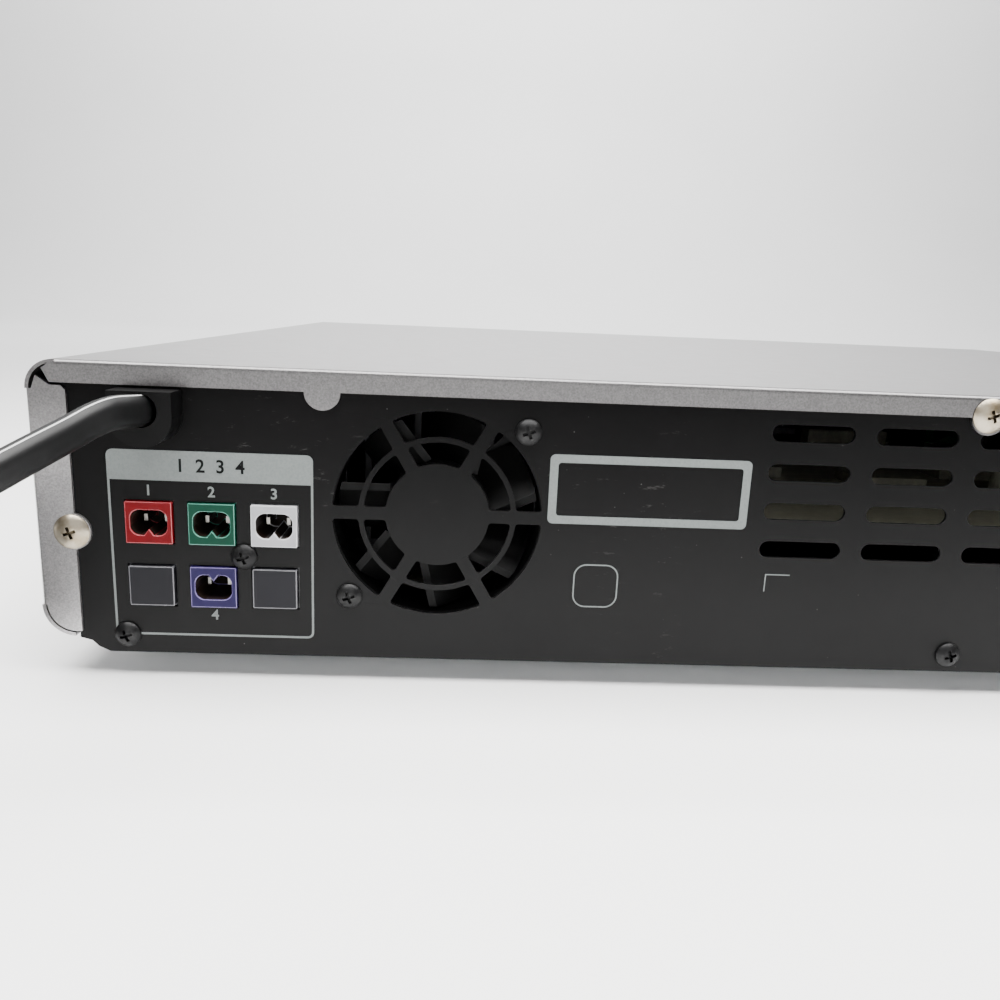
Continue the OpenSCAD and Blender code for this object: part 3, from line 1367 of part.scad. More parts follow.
module feed_motor() color("silver") translate([feed_x, pinion_y, 0]) cylinder_between(deck_z - 15, deck_z, 8);

// ---- clamp ----

clamp_neck_r = 9;
clamp_low = tray_top + 0.8;

module clamp_bridge() color("silver") {
    bridge_w = 40;
    difference() {
        slab_z(bridge_z, bridge_t) translate([0, disc_y])
            square([2 * (frame_in + frame_wall), bridge_w], center = true);
        translate([0, disc_y, bridge_z - 1]) cylinder(r = clamp_neck_r + seam, h = 4);
    }
    for (y = [-bridge_w / 2, bridge_w / 2 - bridge_t])
        translate([-frame_in, disc_y + y, bridge_z]) cube([2 * frame_in, bridge_t, 6]);
}

module clamper() color([0.15, 0.15, 0.16]) translate([0, disc_y, 0]) difference() {
    union() {
        cylinder_between(clamp_low, bridge_z - 0.4, 15);
        cylinder_between(clamp_low, bridge_z + bridge_t + 1, clamp_neck_r);
        cylinder_between(bridge_z + bridge_t + fit_gap, bridge_z + bridge_t + 1.8, 13);
    }
    cylinder_between(clamp_low - 1, clamp_low + 2.1, 8.4);
}

// ---- mains cord ----

cord_r = cord_d / 2;
bush_out = 7;
cord_z = foot_h + 57.8;

module cord_bushing() color([0.1, 0.1, 0.1]) difference() {
    union() {
        slab_y(y_back, bush_out) translate([bush_x, bush_z]) bush_outline(bush_r);
        slab_y(y_in - 3, panel_t + 3 + eps) translate([bush_x, bush_z]) bush_outline(bush_r - 1.6);
        slab_y(y_in - 4, 3) translate([bush_x, bush_z]) bush_outline(bush_r - 0.8);
    }
    translate([bush_x, y_back + bush_out + 1, cord_z]) rotate([90, 0, 0])
        cylinder(r = cord_r + 0.2, h = bush_out + 1);
}

// The route's points: across, behind the rear panel, and above the floor.
cord_route = [
    [188.5, 1, 63.8], [188.6, 7.5, 63.9], [190.3, 16, 64.4], [192.4, 21, 63.4], [194.6, 26, 61.6],
    [197.4, 33, 59.4], [200.4, 40, 57], [204.3, 48, 54], [209, 56, 49.6], [215.5, 63.2, 43.8],
    [223.3, 69.2, 37.4], [231.3, 74.5, 31], [238, 78.8, 26.6], [244, 82.3, 24.8]
];
tail_route = [
    [289.2, 78.3, 24.8], [294.7, 74.5, 24.8], [299.5, 69.7, 25.1], [303.3, 64.2, 25.7],
    [306.2, 58.2, 26.6], [307.9, 51.7, 27.5], [308.5, 45.5, 28]
];
coil_at = [270, 45];
coil_r = 42;
coil_w = 14;
coil_h = 21;
tube_sides = 12;

// Points of a ring about the route at point i.
function route_dir(path, i) =
    let (a = path[max(i - 1, 0)], b = path[min(i + 1, len(path) - 1)]) (b - a) / norm(b - a);
function ring(path, i, r) =
    let (
        d = route_dir(path, i),
        across = cross(d, [0, 0, 1]),
        u = across / norm(across),
        v = cross(u, d)
    )
    [for (k = [0:tube_sides - 1])
        let (a = 360 * k / tube_sides) path[i] + r * (cos(a) * u + sin(a) * v)];

module swept_tube(path, r) {
    n = len(path);
    polyhedron(
        points = [for (i = [0:n - 1]) each ring(path, i, r)],
        faces = concat(
            [[for (k = [0:tube_sides - 1]) k]],
            [for (i = [0:n - 2], k = [0:tube_sides - 1])
                let (a = i * tube_sides, next = (k + 1) % tube_sides)
                [a + k, a + tube_sides + k, a + tube_sides + next, a + next]],
            [[for (k = [tube_sides - 1:-1:0]) (n - 1) * tube_sides + k]]
        )
    );
}

module power_cord() color([0.1, 0.1, 0.1]) translate([0, y_back, 0]) swept_tube(cord_route, cord_r);
module cord_tail() color([0.1, 0.1, 0.1]) translate([0, y_back, 0]) swept_tube(tail_route, cord_r);

module cord_coil() color([0.1, 0.1, 0.1]) translate([coil_at[0], y_back + coil_at[1], 0]) rotate_extrude()
    translate([coil_r, coil_h / 2]) rounded_rect(coil_w, coil_h, 3);

plug_l = 24;
plug_w = 21;
plug_h = 14;
plug_at = [308.5, 45]; // the back of the plug, across and behind the rear panel
blade_l = 16;
blade_w = 6.4;
blade_t = 1.5;
blade_x = 6.35; // from the plug's middle to each blade

// The plug lies on the coil with its blades to -Y.
module cord_plug() color([0.1, 0.1, 0.1]) translate([plug_at[0], y_back + plug_at[1], coil_h + plug_h / 2])
    rotate([90, 0, 0]) {
        linear_extrude(plug_l) rounded_rect(plug_w, plug_h, 4);
        for (s = [-1, 1]) translate([s * blade_x, 0, plug_l - eps])
            linear_extrude(blade_l) square([blade_t, blade_w], center = true);
    }

// ---- assembly ----

top_cover();
chassis_base();
rear_panel();
feet();
front_panel();
display_window();
display_tube();
front_board();
power_button();
open_button();
play_button();
stop_button();
back_button();
forward_button();
volume_knob();
volume_encoder();
phone_socket();
standby_lamp();
socket_red();
socket_green();
socket_white();
socket_purple();
socket_blanks();
socket_pins();
socket_board();
cover_screws();
panel_screws();
fan_frame();
fan_rotor();
heatsink();
power_board();
transformer();
main_board();
phono_sockets();
aerial_sockets();
ribbon_cables();
loader_frame();
tray();
tray_bezel();
tray_gear();
pulley_gear();
motor_pulley();
drive_belt();
loading_motor();
cam_slider();
deck();
spindle_motor();
turntable();
pickup();
guide_rods();
feed_gear();
feed_pinion();
feed_motor();
clamp_bridge();
clamper();
cord_bushing();
power_cord();
cord_coil();
cord_tail();
cord_plug();
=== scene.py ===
"""Looks of a disc player seen from behind: materials, printed marks, the mains cord, light and camera."""

import json
import math

import bmesh
import bpy
from mathutils import Euler, Matrix, Vector


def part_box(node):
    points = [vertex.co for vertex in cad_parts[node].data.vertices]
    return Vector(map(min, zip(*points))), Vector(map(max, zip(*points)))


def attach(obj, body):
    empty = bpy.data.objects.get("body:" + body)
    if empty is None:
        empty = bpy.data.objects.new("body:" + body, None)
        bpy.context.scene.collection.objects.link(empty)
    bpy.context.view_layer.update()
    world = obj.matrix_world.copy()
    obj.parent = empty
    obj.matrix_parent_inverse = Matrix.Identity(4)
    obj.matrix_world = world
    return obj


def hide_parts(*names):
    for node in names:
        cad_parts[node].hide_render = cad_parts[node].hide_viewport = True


MM = 0.001

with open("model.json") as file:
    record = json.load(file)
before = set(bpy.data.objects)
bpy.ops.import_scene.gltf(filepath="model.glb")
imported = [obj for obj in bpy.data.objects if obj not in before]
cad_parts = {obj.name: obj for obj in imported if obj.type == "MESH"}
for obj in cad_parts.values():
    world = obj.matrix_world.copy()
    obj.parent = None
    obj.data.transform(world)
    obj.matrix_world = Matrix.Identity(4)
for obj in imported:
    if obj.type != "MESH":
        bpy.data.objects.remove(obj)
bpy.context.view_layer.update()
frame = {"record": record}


# ---- places on the case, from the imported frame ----

BACK_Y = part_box("rear_panel")[1][1]
BASE_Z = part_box("chassis_base")[0][2]


def on_panel(x, z, out=0.0):
    """A point on the rear panel, in mm: across, above the chassis's underside and out from its face."""
    return Vector((x * MM, BACK_Y + out * MM, BASE_Z + z * MM))


def behind(x, out, height):
    """A point behind the case: across, out from the rear panel and above the floor, in mm."""
    return Vector((x * MM, BACK_Y + out * MM, height * MM))


# ---- camera, lights and world ----

# the camera's place and turn, and its focal length for a sensor so many mm wide, fitted to the photograph
CAMERA_AT = on_panel(119.725, 83.12, 188.8)
CAMERA_RIGHT = Vector((-0.99839, 0.03728, 0.04279))
CAMERA_UP = Vector((0.03324, -0.22686, 0.97336))
SENSOR = 36
LENS = 30.507


def make_camera():
    data = bpy.data.cameras.new("camera")
    data.sensor_width = SENSOR
    data.lens = LENS
    data.clip_start = 0.005
    data.clip_end = 20
    camera = bpy.data.objects.new("camera", data)
    bpy.context.collection.objects.link(camera)
    right = CAMERA_RIGHT.normalized()
    up = (CAMERA_UP - CAMERA_UP.dot(right) * right).normalized()
    back = right.cross(up)
    turn = Matrix((right, up, back)).transposed()
    camera.matrix_world = Matrix.Translation(CAMERA_AT) @ turn.to_4x4()
    bpy.context.scene.camera = camera


WHITE = (1.0, 1.0, 1.0)


def area_light(name, place, target, size, watts, colour=WHITE):
    data = bpy.data.lights.new(name, "AREA")
    data.shape = "RECTANGLE"
    data.size, data.size_y = size
    data.energy = watts
    data.color = colour
    light = bpy.data.objects.new(name, data)
    bpy.context.collection.objects.link(light)
    aim = (Vector(target) - Vector(place)).to_track_quat("-Z", "Y")
    light.matrix_world = Matrix.Translation(place) @ aim.to_matrix().to_4x4()


def make_lights():
    area_light(
        "overhead", place=(0.05, BACK_Y + 0.06, 0.65), target=(0.05, BACK_Y + 0.06, 0.0),
        size=(1.1, 0.5), watts=30, colour=(1.0, 0.995, 0.98),
    )
    # on the rear panel, from behind the camera
    area_light(
        "front", place=(0.1, BACK_Y + 1.3, 0.5), target=(0.08, BACK_Y, 0.04),
        size=(1.2, 0.6), watts=1.5,
    )
    # one for each end of the floor, where it curves up
    area_light("backdrop", place=(0.0, -1.1, 1.9), target=(0.0, -2.4, 0.5), size=(2.4, 0.8), watts=110)
    area_light("rear_backdrop", place=(0.0, 2.3, 1.9), target=(0.0, 3.6, 0.5), size=(2.4, 0.8), watts=34)
    # faint, inside the case, so that the boards behind the vents can be made out
    area_light(
        "inside", place=(-0.03, BACK_Y - 0.014, 0.056), target=(-0.03, BACK_Y - 0.014, 0.0),
        size=(0.3, 0.02), watts=0.0032, colour=(1.0, 0.98, 0.9),
    )


def make_world():
    world = bpy.data.worlds.new("studio")
    world.use_nodes = True
    background = world.node_tree.nodes["Background"]
    background.inputs["Color"].default_value = (0.95, 0.96, 0.97, 1)
    background.inputs["Strength"].default_value = 0.12
    bpy.context.scene.world = world


# ---- materials ----

# the colour mix's sockets by number, because its float and vector sockets have the same names
MIX_FACTOR = 0
MIX_FIRST = 6
MIX_SECOND = 7
MIX_RESULT = 2


def toned(colour, factor):
    """The colour made lighter or darker, and no lighter than white."""
    return tuple(min(1, part * factor) for part in colour)


class Shader:
    """A node material with short names for what the surfaces here need."""

    def __init__(self, name):
        self.material = bpy.data.materials.new(name)
        self.material.use_nodes = True
        self.nodes = self.material.node_tree.nodes
        self.links = self.material.node_tree.links
        self.surface = self.nodes["Principled BSDF"]
        self.place = self.nodes.new("ShaderNodeTexCoord").outputs["Object"]

    def put(self, socket, value):
        """Give a socket a number, a colour or another node's output."""
        if isinstance(value, (int, float)):
            socket.default_value = value
        elif isinstance(value, tuple):
            socket.default_value = (*value, 1)
        else:
            self.links.new(value, socket)

    def set(self, **values):
        for key, value in values.items():
            self.surface.inputs[key.replace("_", " ")].default_value = value

    def feed(self, socket, output):
        self.links.new(output, self.surface.inputs[socket])

    def stretched(self, scale, turn=(0, 0, 0)):
        node = self.nodes.new("ShaderNodeMapping")
        node.inputs["Scale"].default_value = scale
        node.inputs["Rotation"].default_value = turn
        self.links.new(self.place, node.inputs["Vector"])
        return node.outputs["Vector"]

    def noise(self, scale, detail, rough, vector=None):
        """Noise from 0 to 1, with about so many blotches to a metre."""
        node = self.nodes.new("ShaderNodeTexNoise")
        node.inputs["Scale"].default_value = scale
        node.inputs["Detail"].default_value = detail
        node.inputs["Roughness"].default_value = rough
        self.links.new(vector or self.place, node.inputs["Vector"])
        return node.outputs["Fac"]

    def cells(self, scale):
        """The distance to the nearest of scattered points."""
        node = self.nodes.new("ShaderNodeTexVoronoi")
        node.inputs["Scale"].default_value = scale
        self.links.new(self.place, node.inputs["Vector"])
        return node.outputs["Distance"]

    def ramp(self, value, stops):
        """One colour below the first of two stops, another above the second, and a blend between them."""
        node = self.nodes.new("ShaderNodeValToRGB")
        for element, (at, colour) in zip(node.color_ramp.elements, stops):
            element.position = at
            element.color = (*colour, 1)
        self.links.new(value, node.inputs["Fac"])
        return node.outputs["Color"]

    def span(self, value, low, high):
        """value, from 0 to 1, stretched to run from low to high."""
        node = self.nodes.new("ShaderNodeMapRange")
        node.inputs["To Min"].default_value = low
        node.inputs["To Max"].default_value = high
        self.links.new(value, node.inputs["Value"])
        return node.outputs["Result"]

    def window(self, value, low, high):
        """0 below low and 1 above high, with a smooth step between; low may be above high."""
        node = self.nodes.new("ShaderNodeMapRange")
        node.interpolation_type = "SMOOTHSTEP"
        node.inputs["From Min"].default_value = low
        node.inputs["From Max"].default_value = high
        self.links.new(value, node.inputs["Value"])
        return node.outputs["Result"]

    def calc(self, kind, first, second=0):
        node = self.nodes.new("ShaderNodeMath")
        node.operation = kind
        self.put(node.inputs[0], first)
        self.put(node.inputs[1], second)
        return node.outputs["Value"]

    def times(self, first, second):
        return self.calc("MULTIPLY", first, second)

    def blend(self, factor, first, second, kind="MIX"):
        node = self.nodes.new("ShaderNodeMix")
        node.data_type = "RGBA"
        node.blend_type = kind
        self.put(node.inputs[MIX_FACTOR], factor)
        self.put(node.inputs[MIX_FIRST], first)
        self.put(node.inputs[MIX_SECOND], second)
        return node.outputs[MIX_RESULT]

    def hollow(self, reach):
        """1 deep inside a recess narrower than reach, 0 in the open: the mask for painted shade."""
        node = self.nodes.new("ShaderNodeAmbientOcclusion")
        node.inputs["Distance"].default_value = reach
        node.samples = 8
        return self.window(node.outputs["AO"], 0.8, 0.5)

    def axis(self, letter):
        node = self.nodes.new("ShaderNodeSeparateXYZ")
        self.links.new(self.place, node.inputs["Vector"])
        return node.outputs[letter]

    def height(self, low, high):
        """0 at one height above the chassis's underside and 1 at another; low may be above high."""
        return self.window(self.axis("Z"), BASE_Z + low, BASE_Z + high)

    def from_middle(self, letter, low, high):
        """How far a place lies, along an axis, from the middle between low and high."""
        return self.calc("ABSOLUTE", self.calc("SUBTRACT", self.axis(letter), 0.5 * (low + high)))

    def bumped(self, relief, strength, depth):
        """The finished material, with a fine relief of so many metres."""
        node = self.nodes.new("ShaderNodeBump")
        node.inputs["Strength"].default_value = strength
        node.inputs["Distance"].default_value = depth
        self.links.new(relief, node.inputs["Height"])
        self.feed("Normal", node.outputs["Normal"])
        return self.material


# heights above the chassis's underside where the cover's rear strips grow lighter, downwards: painted light
STRIP_TOP = 60 * MM
STRIP_FOOT = 10 * MM
STRIP_PAINTED_LIGHT = (1.8, 1.8, 1.8)
# and where its rear flange grows darker, upwards: painted shade
FLANGE_FOOT = 46 * MM
FLANGE_TOP = 62 * MM
FLANGE_PAINTED_SHADE = (0.55, 0.55, 0.55)


def painted_steel(name, colour, rough, fleck):
    """Silver-grey paint: a fine metallic grain, broad cloudiness and a slight orange peel.

    Behind the rear panel's face, which only the cover reaches, it is lighter low down and darker high up,
    as the photograph's light makes the cover's corner strips and rear flange.
    """
    s = Shader(name)
    grain = s.noise(2600, 2, 0.7)
    cloud = s.noise(9, 3, 0.5)
    fine = s.ramp(grain, [(0.3, toned(colour, 1 - fleck)), (0.7, toned(colour, 1 + fleck))])
    mottled = s.blend(s.span(cloud, 0.0, 0.22), fine, toned(colour, 0.86))
    rear = s.window(s.axis("Y"), BACK_Y - 1 * MM, BACK_Y)
    # painted light on the rear strips, growing downwards, and painted shade on the flange, growing upwards
    lighter = s.times(rear, s.height(STRIP_TOP, STRIP_FOOT))
    darker = s.times(rear, s.height(FLANGE_FOOT, FLANGE_TOP))
    with_painted_light = s.blend(lighter, mottled, STRIP_PAINTED_LIGHT, "MULTIPLY")
    s.feed("Base Color", s.blend(darker, with_painted_light, FLANGE_PAINTED_SHADE, "MULTIPLY"))
    s.feed("Roughness", s.span(s.noise(160, 3, 0.6), rough - 0.04, rough + 0.05))
    s.set(Metallic=0.85)
    return s.bumped(s.noise(700, 2, 0.5), 0.03, 0.00003)


# heights above the chassis's underside between which the rear panel grows greyer and glossier, downwards
PANEL_TOP = 66 * MM
PANEL_FOOT = 12 * MM


def black_paint(name):
    """Semi-matt black paint with dust specks and smudged streaks, greyer and glossier towards its foot."""
    s = Shader(name)
    cloud = s.noise(22, 4, 0.6)
    base = s.ramp(cloud, [(0.25, (0.0015, 0.0015, 0.0016)), (0.75, (0.0034, 0.0033, 0.0034))])
    specks = s.window(s.cells(300), 0.065, 0.02)
    sparse = s.window(s.noise(60, 2, 0.5), 0.5, 0.66)
    dusty = s.times(specks, sparse)
    streaks = s.noise(150, 4, 0.75, s.stretched((1, 1, 3.5), (0, 0.5, 0)))
    smudge = s.times(s.window(streaks, 0.6, 0.72), s.window(s.noise(20, 2, 0.5), 0.56, 0.66))
    marks = s.calc("MAXIMUM", s.times(dusty, 0.25), s.times(smudge, 0.08))
    lower = s.height(PANEL_TOP, PANEL_FOOT)
    # greyer towards the foot: a painted reflection of the bright floor
    grey = s.blend(s.times(lower, 0.35), base, (0.0075, 0.0075, 0.0077))
    s.feed("Base Color", s.blend(marks, grey, (0.32, 0.31, 0.3)))
    s.feed("Roughness", s.span(s.noise(45, 4, 0.6), 0.4, 0.56))
    s.feed("Specular IOR Level", s.span(lower, 0.05, 0.14))
    return s.bumped(s.noise(1900, 2, 0.6), 0.16, 0.00005)


def moulded(name, colour, rough, relief=0.12, gloss=0.3):
    """Moulded plastic: slight unevenness of colour and gloss and a fine spark texture."""
    s = Shader(name)
    low = toned(colour, 0.88)
    high = toned(colour, 1.12)
    s.feed("Base Color", s.ramp(s.noise(60, 3, 0.6), [(0.3, low), (0.7, high)]))
    s.feed("Roughness", s.span(s.noise(220, 3, 0.6), rough - 0.07, rough + 0.07))
    s.set(Specular_IOR_Level=gloss)
    return s.bumped(s.noise(900, 2, 0.6), relief, 0.00006)


def bare_metal(name, colour, rough, brushed=None):
    """Bare or plated metal with darker patches, and optional brushing along an axis."""
    s = Shader(name)
    s.feed("Base Color", s.ramp(s.noise(260, 4, 0.6), [(0.32, toned(colour, 0.82)), (0.62, colour)]))
    streaks = s.noise(700, 3, 0.6, s.stretched(brushed)) if brushed else s.noise(500, 3, 0.6)
    s.feed("Roughness", s.span(streaks, rough - 0.08, rough + 0.12))
    s.set(Metallic=1.0)
    return s.bumped(streaks, 0.06, 0.00004)


def zinc_screw(name):
    """Bright zinc with a yellowish tint, darkened inside the recess with painted shade."""
    s = Shader(name)
    plate = s.ramp(s.noise(260, 3, 0.6), [(0.3, (0.26, 0.205, 0.125)), (0.6, (0.43, 0.38, 0.3))])
    s.feed("Base Color", s.blend(s.hollow(1.1 * MM), plate, (0.06, 0.045, 0.025)))
    s.feed("Roughness", s.span(s.noise(400, 3, 0.6), 0.3, 0.42))
    s.set(Metallic=0.95)
    return s.bumped(s.noise(500, 2, 0.6), 0.05, 0.00004)


def worn_black(name):
    """Black-oxide screws, worn grey in patches, with painted shade darkest inside the recess."""
    s = Shader(name)
    rub = s.window(s.noise(300, 3, 0.6), 0.45, 0.75)
    black = s.blend(rub, (0.009, 0.009, 0.0095), (0.026, 0.026, 0.026))
    s.feed("Base Color", s.blend(s.hollow(0.9 * MM), black, (0.002, 0.002, 0.002)))
    s.feed("Roughness", s.span(s.noise(500, 3, 0.6), 0.36, 0.48))
    s.set(Metallic=0.7)
    return s.bumped(s.noise(600, 2, 0.6), 0.06, 0.00004)


# half the width and height of a socket's well, with a little to spare, and the softness of its edge
WELL_HALF_W = 4.4 * MM
WELL_HALF_H = 3.2 * MM
WELL_EDGE = 0.3 * MM
# how far out of the rear panel the well is dark, and where it has its face's colour
WELL_DARK = 0.2 * MM
WELL_PALE = 0.55 * MM


def socket_plastic(name, colour):
    """A coloured socket face whose well is dark below the mouth."""
    s = Shader(name)
    low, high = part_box(name)
    across = s.from_middle("X", low[0], high[0])
    upward = s.from_middle("Z", low[2], high[2])
    inside = s.times(
        s.window(across, WELL_HALF_W, WELL_HALF_W - WELL_EDGE),
        s.window(upward, WELL_HALF_H, WELL_HALF_H - WELL_EDGE),
    )
    depth = s.times(inside, s.window(s.axis("Y"), BACK_Y + WELL_PALE, BACK_Y + WELL_DARK))
    mottled = s.ramp(s.noise(300, 3, 0.6), [(0.3, toned(colour, 0.86)), (0.7, colour)])
    s.feed("Base Color", s.blend(depth, mottled, (0.02, 0.013, 0.01)))
    s.feed("Roughness", s.span(s.noise(500, 3, 0.6), 0.3, 0.44))
    s.set(Specular_IOR_Level=0.12)
    return s.bumped(s.noise(1200, 2, 0.6), 0.1, 0.00005)


# radius of a phono socket's coloured insulator, inside its sleeve
INSULATOR = 3.4 * MM
PHONO_COLUMNS = 4
PHONO_ROWS = 2
PHONO_WHITE = (0.42, 0.42, 0.41)
PHONO_RED = (0.22, 0.006, 0.008)
PHONO_YELLOW = (0.5, 0.32, 0.01)


def phono_sleeves(name):
    """Phono sockets: nickel sleeves round insulators in the usual three colours, on a black block."""
    s = Shader(name)
    low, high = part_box("phono_sockets")
    wide = (high[0] - low[0]) / PHONO_COLUMNS
    tall = (high[2] - low[2]) / PHONO_ROWS
    column = s.calc("DIVIDE", s.calc("SUBTRACT", s.axis("X"), low[0]), wide)
    row = s.calc("DIVIDE", s.calc("SUBTRACT", s.axis("Z"), low[2]), tall)
    across = s.times(s.calc("SUBTRACT", s.calc("FRACT", column), 0.5), wide)
    upward = s.times(s.calc("SUBTRACT", s.calc("FRACT", row), 0.5), tall)
    radius = s.calc("SQRT", s.calc("ADD", s.times(across, across), s.times(upward, upward)))
    sleeve = s.window(radius, INSULATOR, INSULATOR + 0.1 * MM)
    outside = s.window(s.axis("Y"), BACK_Y, BACK_Y + 0.3 * MM)
    metal = s.times(sleeve, outside)
    stereo = s.blend(s.window(row, 0.99, 1.01), PHONO_RED, PHONO_WHITE)
    last_column = s.window(column, PHONO_COLUMNS - 1.01, PHONO_COLUMNS - 0.99)
    insulator = s.blend(last_column, stereo, PHONO_YELLOW)
    mottled = s.blend(s.span(s.noise(400, 3, 0.6), 0.0, 0.3), insulator, (0.02, 0.02, 0.02))
    plastic = s.blend(outside, (0.009, 0.009, 0.0095), mottled)
    s.feed("Base Color", s.blend(metal, plastic, (0.5, 0.49, 0.46)))
    s.feed("Metallic", metal)
    s.feed("Roughness", s.span(s.noise(500, 3, 0.6), 0.24, 0.4))
    return s.bumped(s.noise(900, 2, 0.6), 0.06, 0.00004)


def fibre(s):
    """The mottling of a circuit board's woven glass."""
    return s.noise(500, 4, 0.7, s.stretched((1, 3, 1)))


def laminate(name, colour):
    """Circuit board: fibre mottling with a lacquer sheen."""
    s = Shader(name)
    weave = fibre(s)
    s.feed("Base Color", s.ramp(weave, [(0.3, toned(colour, 0.72)), (0.7, colour)]))
    s.feed("Roughness", s.span(s.noise(120, 3, 0.6), 0.35, 0.55))
    return s.bumped(weave, 0.1, 0.00005)


BOARD_T = 1.6 * MM


def populated(name, colour):
    """The power board: a laminate at the foot of its node, dark component bodies above it."""
    s = Shader(name)
    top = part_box("power_board")[0][2] + BOARD_T
    weave = fibre(s)
    board = s.ramp(weave, [(0.3, toned(colour, 0.72)), (0.7, colour)])
    bodies = s.ramp(s.noise(45, 2, 0.5), [(0.4, (0.012, 0.012, 0.013)), (0.6, (0.02, 0.022, 0.045))])
    s.feed("Base Color", s.blend(s.window(s.axis("Z"), top, top + 0.1 * MM), board, bodies))
    s.feed("Roughness", s.span(s.noise(120, 3, 0.6), 0.35, 0.5))
    return s.bumped(weave, 0.1, 0.00005)


def smoked_clear(name, colour, rough, clear):
    """Tinted glass or clear plastic that lets a share of the light through."""
    s = Shader(name)
    s.feed("Base Color", s.ramp(s.noise(30, 3, 0.6), [(0.3, toned(colour, 0.8)), (0.7, colour)]))
    s.feed("Roughness", s.span(s.noise(80, 3, 0.6), rough, rough + 0.05))
    s.set(Transmission_Weight=clear, IOR=1.49)
    return s.material


def printing_ink(name, colour, gloss=0.5):
    """Screen-print ink, slightly uneven where it sits on the grain of the paint."""
    s = Shader(name)
    s.feed("Base Color", s.ramp(s.noise(1800, 3, 0.7), [(0.25, toned(colour, 0.8)), (0.6, colour)]))
    s.feed("Roughness", s.span(s.noise(400, 2, 0.6), 0.42, 0.58))
    s.set(Specular_IOR_Level=gloss)
    return s.bumped(s.noise(2100, 2, 0.6), 0.12, 0.00004)


def rubber(name, colour):
    """Soft black or grey rubber with a slightly uneven skin."""
    s = Shader(name)
    s.feed("Base Color", s.ramp(s.noise(150, 4, 0.6), [(0.3, toned(colour, 0.7)), (0.75, colour)]))
    s.feed("Roughness", s.span(s.noise(300, 3, 0.6), 0.36, 0.5))
    s.set(Specular_IOR_Level=0.3)
    return s.bumped(s.noise(1100, 3, 0.6), 0.2, 0.00006)


# length of the plug's blades
BLADE = 16 * MM


def plug_material(name):
    """Black moulding, with the two blades in bare metal in front of its face."""
    s = Shader(name)
    face_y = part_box("cord_plug")[0][1] + BLADE
    metal = s.window(s.axis("Y"), face_y, face_y - 0.05 * MM)
    black = s.ramp(s.noise(200, 3, 0.6), [(0.3, (0.016, 0.016, 0.017)), (0.7, (0.026, 0.026, 0.027))])
    s.feed("Base Color", s.blend(metal, black, (0.8, 0.72, 0.5)))
    s.feed("Metallic", metal)
    s.feed("Roughness", s.span(s.noise(300, 3, 0.6), 0.3, 0.5))
    return s.bumped(s.noise(1000, 2, 0.6), 0.1, 0.00005)


def floor_material(name):
    """A pale, slightly uneven table and wall."""
    s = Shader(name)
    s.feed("Base Color", s.ramp(s.noise(2.5, 3, 0.5), [(0.2, (0.88, 0.88, 0.88)), (0.8, (0.93, 0.93, 0.93))]))
    s.feed("Roughness", s.span(s.noise(30, 3, 0.6), 0.45, 0.6))
    return s.material


# ---- dressing the CAD nodes ----

TAN = (0.36, 0.36, 0.29)

SLOT_MATERIALS = {
    "cover_paint": lambda n: painted_steel(n, (0.27, 0.262, 0.264), 0.3, 0.28),
    "chassis_steel": lambda n: bare_metal(n, (0.62, 0.63, 0.64), 0.36, (1, 12, 1)),
    "panel_black": black_paint,
    "front_silver": lambda n: painted_steel(n, (0.33, 0.33, 0.335), 0.34, 0.08),
    "knob_silver": lambda n: bare_metal(n, (0.46, 0.465, 0.47), 0.28),
    "smoke_window": lambda n: smoked_clear(n, (0.02, 0.02, 0.024), 0.06, 0.35),
    "tube_glass": lambda n: smoked_clear(n, (0.1, 0.14, 0.13), 0.1, 0.2),
    "black_plastic": lambda n: moulded(n, (0.009, 0.009, 0.0095), 0.46, gloss=0.22),
    "grey_plastic": lambda n: moulded(n, (0.06, 0.06, 0.064), 0.42),
    "white_plastic": lambda n: moulded(n, (0.74, 0.72, 0.66), 0.38),
    "socket_red": lambda n: socket_plastic(n, (0.13, 0.0005, 0.003)),
    "socket_green": lambda n: socket_plastic(n, (0.0005, 0.04, 0.022)),
    "socket_white": lambda n: socket_plastic(n, (0.38, 0.38, 0.4)),
    "socket_purple": lambda n: socket_plastic(n, (0.016, 0.011, 0.055)),
    "blank_grey": lambda n: moulded(n, (0.01, 0.01, 0.0125), 0.5, gloss=0.15),
    "pin_tin": lambda n: bare_metal(n, (0.3, 0.29, 0.27), 0.3),
    "screw_zinc": zinc_screw,
    "screw_black": worn_black,
    "board_tan": lambda n: laminate(n, TAN),
    "board_green": lambda n: laminate(n, (0.03, 0.16, 0.07)),
    "fin_aluminium": lambda n: bare_metal(n, (0.1, 0.1, 0.105), 0.4, (1, 1, 10)),
    "core_steel": lambda n: moulded(n, (0.08, 0.075, 0.07), 0.4),
    "motor_steel": lambda n: bare_metal(n, (0.62, 0.62, 0.62), 0.3, (1, 1, 9)),
    "deck_steel": lambda n: bare_metal(n, (0.45, 0.46, 0.47), 0.4),
    "rod_steel": lambda n: bare_metal(n, (0.85, 0.85, 0.85), 0.14),
    "belt_rubber": lambda n: rubber(n, (0.02, 0.02, 0.02)),
    "foot_rubber": lambda n: rubber(n, (0.05, 0.05, 0.052)),
    "lamp_red": lambda n: smoked_clear(n, (0.5, 0.01, 0.01), 0.15, 0.3),
    "cable_white": lambda n: moulded(n, (0.66, 0.66, 0.62), 0.4),
    "cord_black": lambda n: rubber(n, (0.004, 0.004, 0.0043)),
}


def dress(name, material):
    """Give a CAD node one material."""
    node = bpy.data.objects[name]
    node.data.materials.clear()
    node.data.materials.append(material)


